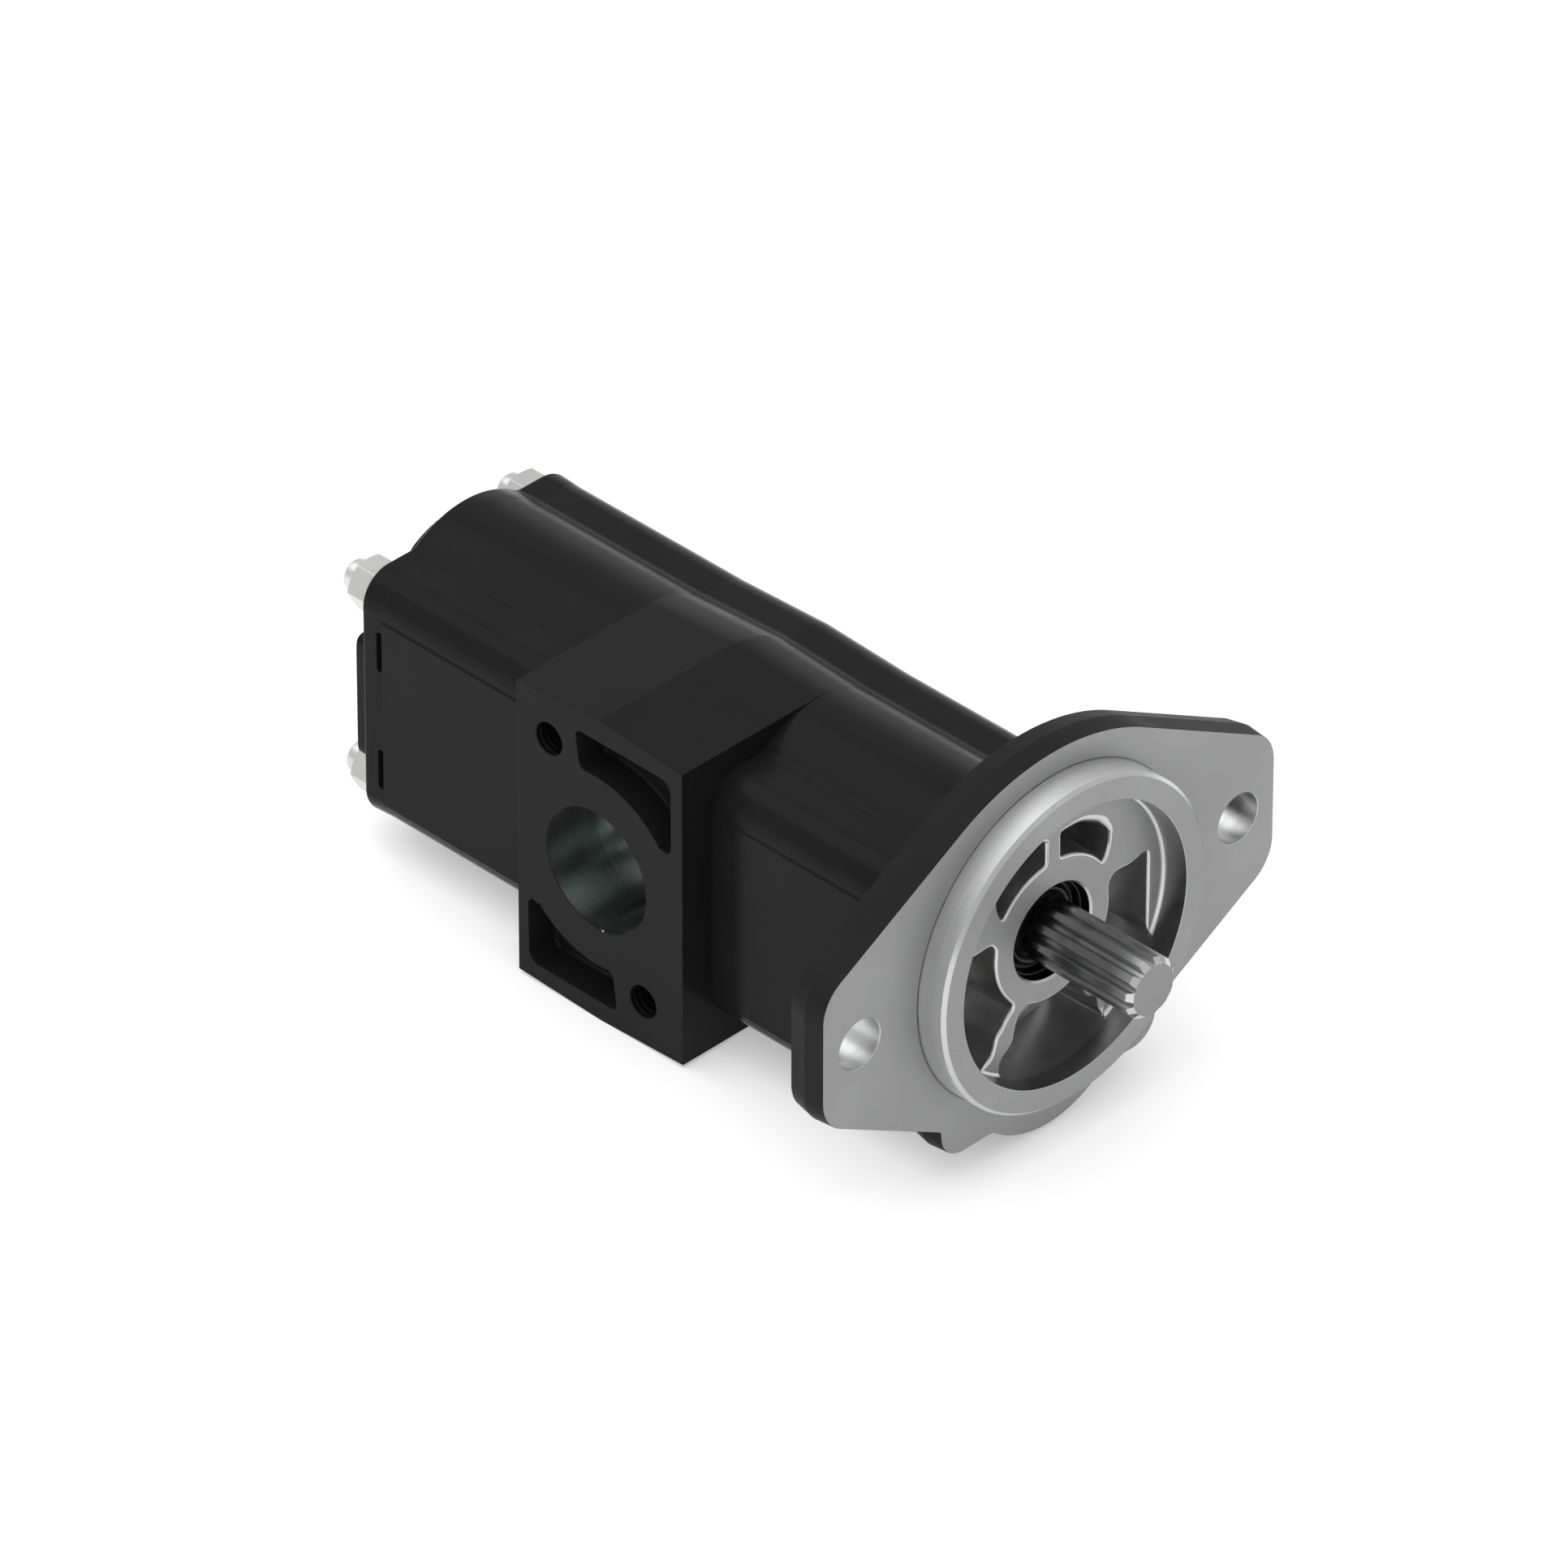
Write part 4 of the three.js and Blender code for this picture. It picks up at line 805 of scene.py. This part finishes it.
def port_block():
    made = skinned("port_block_body", block_rows())
    through = (BLOCK_BACK - 1, BLOCK_FRONT + 1)
    chamfer = 0.25
    cutters = [
        turned("inlet", [
            (4, INLET_FLOOR_Y + 5), (INLET_R, INLET_FLOOR_Y), (INLET_R, PORT_FACE_Y + chamfer),
            (INLET_R + chamfer, PORT_FACE_Y), (INLET_R + chamfer, PORT_FACE_Y - 1),
        ], 0, MIDDLE_Z, 128, side_x=INLET_X),
        turned("passage", [(PASSAGE_R, x) for x in through], 0, 0, 64),
        turned("suction", [(SUCTION_R, x) for x in through], SUCTION_Y, MIDDLE_Z, 40),
        face_pocket_cutter(1, 28.9),
        face_pocket_cutter(-1, 26.5),
    ]
    bolts = [
        (INLET_X + side * INLET_BOLTS[0] / 2, MIDDLE_Z - side * INLET_BOLTS[1] / 2) for side in (-1, 1)
    ]
    floor = PORT_FACE_Y + INLET_BOLT_DEPTH
    thread = threaded(INLET_BOLT_R, INLET_BOLT_R + 0.35, floor, PORT_FACE_Y, 1.9, 0.3)
    for x, z in bolts:
        cutters.append(turned("bolt hole", [(0.5, floor + 2.5), *thread], 0, z, 48, side_x=x))
    cutters += stud_holes(STUD_HOLE_R, *through)
    cutters += dowel_holes(BLOCK_BACK) + dowel_holes(BLOCK_FRONT)
    minus(made, *cutters)

    def choose(x, y, z, normal):
        if math.hypot(x - INLET_X, z - MIDDLE_Z) < INLET_R + 0.4 and PORT_FACE_Y + 0.1 < y < 5:
            return INLET
        # Painted shade: the tapped bolt holes get the near-black hole colour.
        near_bolt = any(math.dist((x, z), bolt) < INLET_BOLT_R + 1 for bolt in bolts)
        return HOLE_SHADE if near_bolt and y > PORT_FACE_Y + 0.05 else PAINT

    painted(made, [PAINT, INLET, HOLE_SHADE], choose)
    stand_in(polished(made), "port_block")


def rear_cover():
    plate = edged(body_outline(COVER_LOBE_R, False), REAR_COVER_BACK, REAR_HOUSING_BACK, 1.2, 0.02)
    seam = across(body_outline(LOBE_R + 0.02, False), REAR_HOUSING_BACK)
    made = skinned("rear_cover_body", [*plate[:4], seam])
    boss_r, clear, corner_y, corner_r = 25.2, 13.4, 34.8, 2.2
    right = (
        arc(0, 0, boss_r, 90, 62, 4) + arc(STUD_Y, STUD_TOP_Z, clear, 160, 280, 6)
        + arc(corner_y, -0.6, corner_r, 60, 0, 15) + arc(corner_y, -36.9, corner_r, 0, -60, 15)
        + arc(STUD_Y, STUD_BOTTOM_Z, clear, 80, 200, 6) + arc(0, -GEAR_CENTRES, boss_r, -62, -90, 4)
    )
    outline = smoothed(resampled(cleaned(right + mirrored(right)), 1.0), 10)
    edge = 0.6
    rows = []
    for s, c in quarter(0, 30, 60, 90):
        rows.append(across(grown(outline, -edge * (1 - s)), REAR_BOSS_BACK + edge * (1 - c)))
    plus(made, skinned("boss", [*rows, across(outline, REAR_COVER_BACK + 3)]))
    cutters = []
    slot_r, half_slot = 1.25, 5.4
    for side in (1, -1):
        for z in (2.8, -36.6):
            x = REAR_HOUSING_BACK - slot_r
            slot = arc(x, z + half_slot, slot_r, 0, 180, 20)
            slot += arc(x, z - half_slot, slot_r, 180, 360, 20)
            ends = sorted((side * (PAD_Y - 2.8), side * (PAD_Y + 3)))
            cutters.append(skinned("pry slot", [along_side(cleaned(slot), y) for y in ends]))
    cutters += stud_holes(STUD_HOLE_R, REAR_COVER_BACK - 1, REAR_HOUSING_BACK + 1)
    cutters += dowel_holes(REAR_HOUSING_BACK)
    minus(made, *cutters)

    def choose(x, y, z, normal):
        return FACE if x > REAR_HOUSING_BACK - 0.02 and normal.x > 0.9 else PAINT

    painted(made, [PAINT, FACE], choose)
    stand_in(polished(made), "rear_cover")


# ------------------------------------------------------------------ gears and shafts
def gear_outline(turn):
    """Involute teeth with a relieved root, the first of them at the angle turn."""
    pitch_r = GEAR_CENTRES / 2
    module = GEAR_CENTRES / TEETH
    base_r = pitch_r * math.cos(PRESSURE_ANGLE)
    tip_r, root_r = pitch_r + module, pitch_r - 1.22 * module

    def involute(angle):
        return math.tan(angle) - angle

    half_tooth = math.pi / (2 * TEETH) - BACKLASH / (4 * pitch_r)

    def half_at(r):
        return half_tooth + involute(PRESSURE_ANGLE) - involute(math.acos(min(1, base_r / r)))

    flank = [base_r + (tip_r - 0.2 - base_r) * t for t in (0.02, 0.2, 0.4, 0.6, 0.8, 1)]
    tooth = [(root_r, half_at(base_r) + 0.06), (root_r + 0.35, half_at(base_r) + 0.012)]
    tooth += [(r, half_at(r)) for r in flank]
    tooth.append((tip_r, half_at(tip_r) - 0.012))
    points = []
    for i in range(TEETH):
        middle = math.radians(turn) + 2 * math.pi * i / TEETH
        points += [(r * math.cos(middle - h), r * math.sin(middle - h)) for r, h in tooth]
        points += [(r * math.cos(middle + h), r * math.sin(middle + h)) for r, h in reversed(tooth)]
    return points


def spline_outline(teeth, tip_r, root_r, turn, clearance=0.0):
    """Nearly straight flanks that bulge a little, with rounded roots and tips."""
    pitch = 2 * math.pi / teeth
    extra = clearance / tip_r
    points = []
    # (share of the tooth's height, half its width there as a share of the pitch)
    shape = [(0, 0.385), (0.06, 0.352), (0.2, 0.325), (0.45, 0.292), (0.7, 0.258), (0.92, 0.226), (1, 0.205)]
    for i in range(teeth):
        middle = math.radians(turn) + pitch * i
        side = [(root_r + (tip_r - root_r) * t + clearance, pitch * h + extra) for t, h in shape]
        points += [(r * math.cos(middle - h), r * math.sin(middle - h)) for r, h in side]
        points += [(r * math.cos(middle + h), r * math.sin(middle + h)) for r, h in reversed(side)]
    return points


def moved(points, z):
    return [(a, b + z) for a, b in points]


def gear_part(name, front, turn, z, ends):
    """A gear with its journals; ends are the x of the two journal ends."""
    start = front - BEARING_BLOCK - WEAR_PLATE - 3 * END_FLOAT
    outline = moved(cleaned(gear_outline(turn), 0.001), z)
    made = skinned(name, edged(outline, start - GEAR_WIDTH, start, 0.2, 0.2))
    back, near = ends
    journal = turned("journal", [
        (JOURNAL_R - 0.7, back), (JOURNAL_R, back + 0.7), (JOURNAL_R, near - 0.7), (JOURNAL_R - 0.7, near),
    ], 0, z, 96)
    return plus(made, journal)


def coupling_bore(x0, x1):
    splines = spline_outline(COUPLING_TEETH, COUPLING_TIP_R, COUPLING_ROOT_R, 0, COUPLING_FIT)
    outline = cleaned(splines, 0.001)
    return skinned("coupling bore", [across(outline, x0), across(outline, x1)])


def drive_shaft():
    """The front drive gear and the splined end, whose teeth run out into a cone."""
    back = BLOCK_FRONT + JOURNAL_GAP
    made = gear_part("drive_shaft_body", COVER_BACK, -90, 0, (back, -3.2))
    outline = cleaned(spline_outline(SPLINE_TEETH, SPLINE_TIP_R, SPLINE_ROOT_R, SPLINE_TURN), 0.001)
    splines = skinned("splines", [across(outline, -5), across(outline, SHAFT_END)])
    over, end_r = SPLINE_TIP_R + 0.3, SPLINE_ROOT_R + 0.1
    limit = turned("limit", [
        (over, -5.5), (over, SHAFT_END - 2.0), (end_r + 0.02, SHAFT_END - 0.02), (end_r, SHAFT_END),
    ], sides=192)
    common(splines, limit)
    plus(made, splines)
    minus(made, coupling_bore(back - 1, back + COUPLING_DEPTH))

    def choose(x, y, z, normal):
        if x > SHAFT_END - 0.1 and normal.x > 0.9:
            return SHAFT_FACE
        if x > SHAFT_END - 2.6 and normal.x > 0.3:
            return EDGE
        # Painted shade: the journal and its chamfer inside the seal get the near-black hole colour.
        if -14 < x < -3 and (math.hypot(y, z) > SPLINE_TIP_R + 0.05 or normal.x > 0.5):
            return HOLE_SHADE
        return SPLINE if x > -20 else GEAR

    painted(made, [SPLINE, SHAFT_FACE, EDGE, GEAR, HOLE_SHADE], choose)
    stand_in(polished(made, 30), "drive_shaft", "drive_train")


def other_gears():
    near = BLOCK_BACK - JOURNAL_GAP
    rear = gear_part("rear_drive_gear_body", BLOCK_BACK, -90, 0, (REAR_HOUSING_BACK + JOURNAL_GAP, near))
    minus(rear, coupling_bore(near - COUPLING_DEPTH, near + 1))
    made = [(rear, "rear_drive_gear", "drive_train")]
    for label, front in (("front", COVER_BACK), ("rear", BLOCK_BACK)):
        ends = (front - SECTION + JOURNAL_GAP, front - JOURNAL_GAP)
        piece = gear_part(f"{label}_driven_gear_body", front, 90 + 180 / TEETH, -GEAR_CENTRES, ends)
        made.append((piece, f"{label}_driven_gear", f"{label}_driven"))
    for piece, node, body in made:
        piece.data.materials.clear()
        piece.data.materials.append(GEAR)
        stand_in(polished(piece, 30), node, body)


def shaft_seal():
    """A lip seal: an outer shell, a hollow front and two lips on the journal."""
    inner = JOURNAL_R + 0.1
    outer = SEAL_BORE_R - 0.05
    profile = [
        (outer, -8.4), (outer, -2.5), (outer - 0.3, -2.2), (14.0, -2.2), (13.6, -2.5), (13.3, -4.6),
        (13.0, -4.9), (12.2, -4.9), (11.9, -4.7), (11.5, -3.6), (11.2, -3.4), (10.7, -3.4), (inner, -3.9),
        (inner + 0.4, -4.6), (11.2, -5.4), (inner + 0.1, -6.2), (inner, -6.5), (inner + 0.7, -7.8), (12, -8.4),
    ]
    made = turned("shaft_seal_ring", profile, closed=True, sides=128)
    made.data.materials.append(RUBBER)
    stand_in(polished(made, 50), "shaft_seal")


# ------------------------------------------------------------------ studs and nuts
def stud(index, y, z):
    """A smooth stud with chamfered ends and a fine line round its rear end."""
    root, r = STUD_R - 0.7, STUD_R
    made = turned(f"tie_stud_{index}_bolt", [
        (root, STUD_BACK), (r - 0.12, STUD_BACK + 0.7), (r, STUD_BACK + 0.95), (r, STUD_BACK + 2.6),
        (r - 0.05, STUD_BACK + 2.75), (r, STUD_BACK + 2.9), (r, STUD_FRONT - 0.8), (root, STUD_FRONT),
    ], y, z, 64)
    made.data.materials.append(ZINC)
    stand_in(polished(made, 50), f"tie_stud_{index}")


def nut(index, y, z):
    front, back = REAR_COVER_BACK, REAR_COVER_BACK - NUT_HEIGHT
    flat = NUT_FLATS / 2
    corner_r = 0.35
    reach = (flat - corner_r) / math.cos(math.pi / 6)
    hexagon = []
    for at in range(0, 360, 60):
        middle = math.radians(at)
        hexagon += arc(reach * math.cos(middle), reach * math.sin(middle), corner_r, at - 30, at + 30, 15)
    outline = [(y + a, z + b) for a, b in hexagon]
    made = skinned(f"tie_nut_{index}_hex", [across(outline, back), across(outline, front)])
    limit = turned("limit", [
        (flat - 0.35, back), (flat + 1.45, back + 1.0), (flat + 1.45, front - 0.35), (flat + 0.9, front),
    ], y, z, 72)
    common(made, limit)
    r = STUD_R + 0.02
    bore = [(r + 1.5, back - 1), (r + 0.5, back), (r, back + 0.5), (r, front + 1)]
    minus(made, turned("bore", bore, y, z, 48))
    made.data.materials.clear()
    made.data.materials.append(ZINC)
    stand_in(polished(made, 24), f"tie_nut_{index}")


# ------------------------------------------------------------------ the pieces that stay as the CAD made them
def smooth_by_angle(degrees):
    """A node group that shades a mesh smooth, except over edges sharper than the angle."""
    group = bpy.data.node_groups.new("smooth_by_angle", "GeometryNodeTree")
    for direction in ("INPUT", "OUTPUT"):
        group.interface.new_socket("Geometry", in_out=direction, socket_type="NodeSocketGeometry")
    start, end = group.nodes.new("NodeGroupInput"), group.nodes.new("NodeGroupOutput")
    faces = group.nodes.new("GeometryNodeSetShadeSmooth")
    edges = group.nodes.new("GeometryNodeSetShadeSmooth")
    edges.domain = "EDGE"
    edges.inputs["Shade Smooth"].default_value = False
    angle = group.nodes.new("GeometryNodeInputMeshEdgeAngle")
    sharper = group.nodes.new("FunctionNodeCompare")
    sharper.data_type, sharper.operation = "FLOAT", "GREATER_THAN"
    sharper.inputs["B"].default_value = math.radians(degrees)
    group.links.new(start.outputs["Geometry"], faces.inputs["Geometry"])
    group.links.new(angle.outputs["Unsigned Angle"], sharper.inputs["A"])
    group.links.new(sharper.outputs["Result"], edges.inputs["Selection"])
    group.links.new(faces.outputs["Geometry"], edges.inputs["Geometry"])
    group.links.new(edges.outputs["Geometry"], end.inputs["Geometry"])
    return group


def inner_nodes():
    """Materials and rounded edges, by modifiers, for the CAD nodes that no piece stands for."""
    kinds = [
        ("bearing_block", ALUMINIUM, 0.4), ("wear_plate", BRONZE, 0.15),
        ("dowel", GEAR, 0.3), ("coupling", GEAR, 0.15),
    ]
    smooth = smooth_by_angle(34)
    for name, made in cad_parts.items():
        if made.hide_render:
            continue
        material, width = RUBBER, 0.2
        for word, chosen, size in kinds:
            if word in name:
                material, width = chosen, size
        for slot in made.material_slots:
            slot.material = material
        made.modifiers.new("joined corners", "WELD").merge_threshold = 0.000001
        made.modifiers.new("smooth", "NODES").node_group = smooth
        bevel = made.modifiers.new("rounded edges", "BEVEL")
        bevel.width, bevel.segments, bevel.limit_method = width / 1000, 2, "ANGLE"
        bevel.angle_limit = math.radians(40)
        bevel.harden_normals = True


shaft_end_cover()
gear_housing("front_gear_housing_shell", COVER_BACK, BLOCK_FRONT)
gear_housing("rear_gear_housing_shell", BLOCK_BACK, BLOCK_BACK)
port_block()
rear_cover()
drive_shaft()
other_gears()
shaft_seal()
for number, (stud_y, stud_z) in enumerate(STUD_PLACES, 1):
    stud(number, stud_y, stud_z)
    nut(number, stud_y, stud_z)
inner_nodes()


# ------------------------------------------------------------------ floor, light and camera
def floor():
    mesh = bpy.data.meshes.new("floor")
    far = 4
    mesh.from_pydata([(-far, -far, 0), (far, -far, 0), (far, far, 0), (-far, far, 0)], [], [(0, 1, 2, 3)])
    made = bpy.data.objects.new("floor", mesh)
    bpy.context.scene.collection.objects.link(made)
    material, _, shader = surface("pale_floor", colour(0.8), 0, 0.9, specular=0.1)
    shader.inputs["Emission Color"].default_value = colour(1)
    shader.inputs["Emission Strength"].default_value = 0.36
    mesh.materials.append(material)


def softbox(name, at, size, power):
    """A rectangular light that looks at the middle of the pump."""
    light = bpy.data.lights.new(name, "AREA")
    light.shape, light.size, light.size_y, light.energy = "RECTANGLE", size[0], size[1], power
    made = bpy.data.objects.new(name, light)
    bpy.context.scene.collection.objects.link(made)
    made.location = at
    made.rotation_mode = "QUATERNION"
    made.rotation_quaternion = (Vector((0, 0, 0.06)) - Vector(at)).to_track_quat("-Z", "Y")


floor()
softbox("overhead", (-0.3, -0.4, 2.6), (3.6, 3.6), 46)
softbox("left_front", (0.3, -2.6, 1.5), (1.6, 1.6), 5)
softbox("rear_strip", (-1.8, 2.4, 0.9), (2.4, 0.8), 2)

world = bpy.data.worlds.new("studio")
bpy.context.scene.world = world
world.use_nodes = True
world.node_tree.nodes["Background"].inputs["Color"].default_value = (1, 1, 1, 1)
world.node_tree.nodes["Background"].inputs["Strength"].default_value = 0.8

camera_data = bpy.data.cameras.new("camera")
camera = bpy.data.objects.new("camera", camera_data)
bpy.context.scene.collection.objects.link(camera)
camera_data.sensor_width = 36
camera_data.lens = 394.0863
camera_data.clip_start, camera_data.clip_end = 0.1, 40
# The camera's own axes in the frame, solved from the pilot circle, the bolt holes and the inlet.
right = Vector((0.709265, 0.704941, 0.000599))
up = Vector((-0.409300, 0.411118, 0.814528))
back = Vector((0.573948, -0.577962, 0.580124))
camera.location = (2.67904, -2.69863, 2.77220)
camera.rotation_mode = "QUATERNION"
camera.rotation_quaternion = Matrix((right, up, back)).transposed().to_quaternion()
bpy.context.scene.camera = camera
bpy.context.scene.view_settings.view_transform = "Standard"
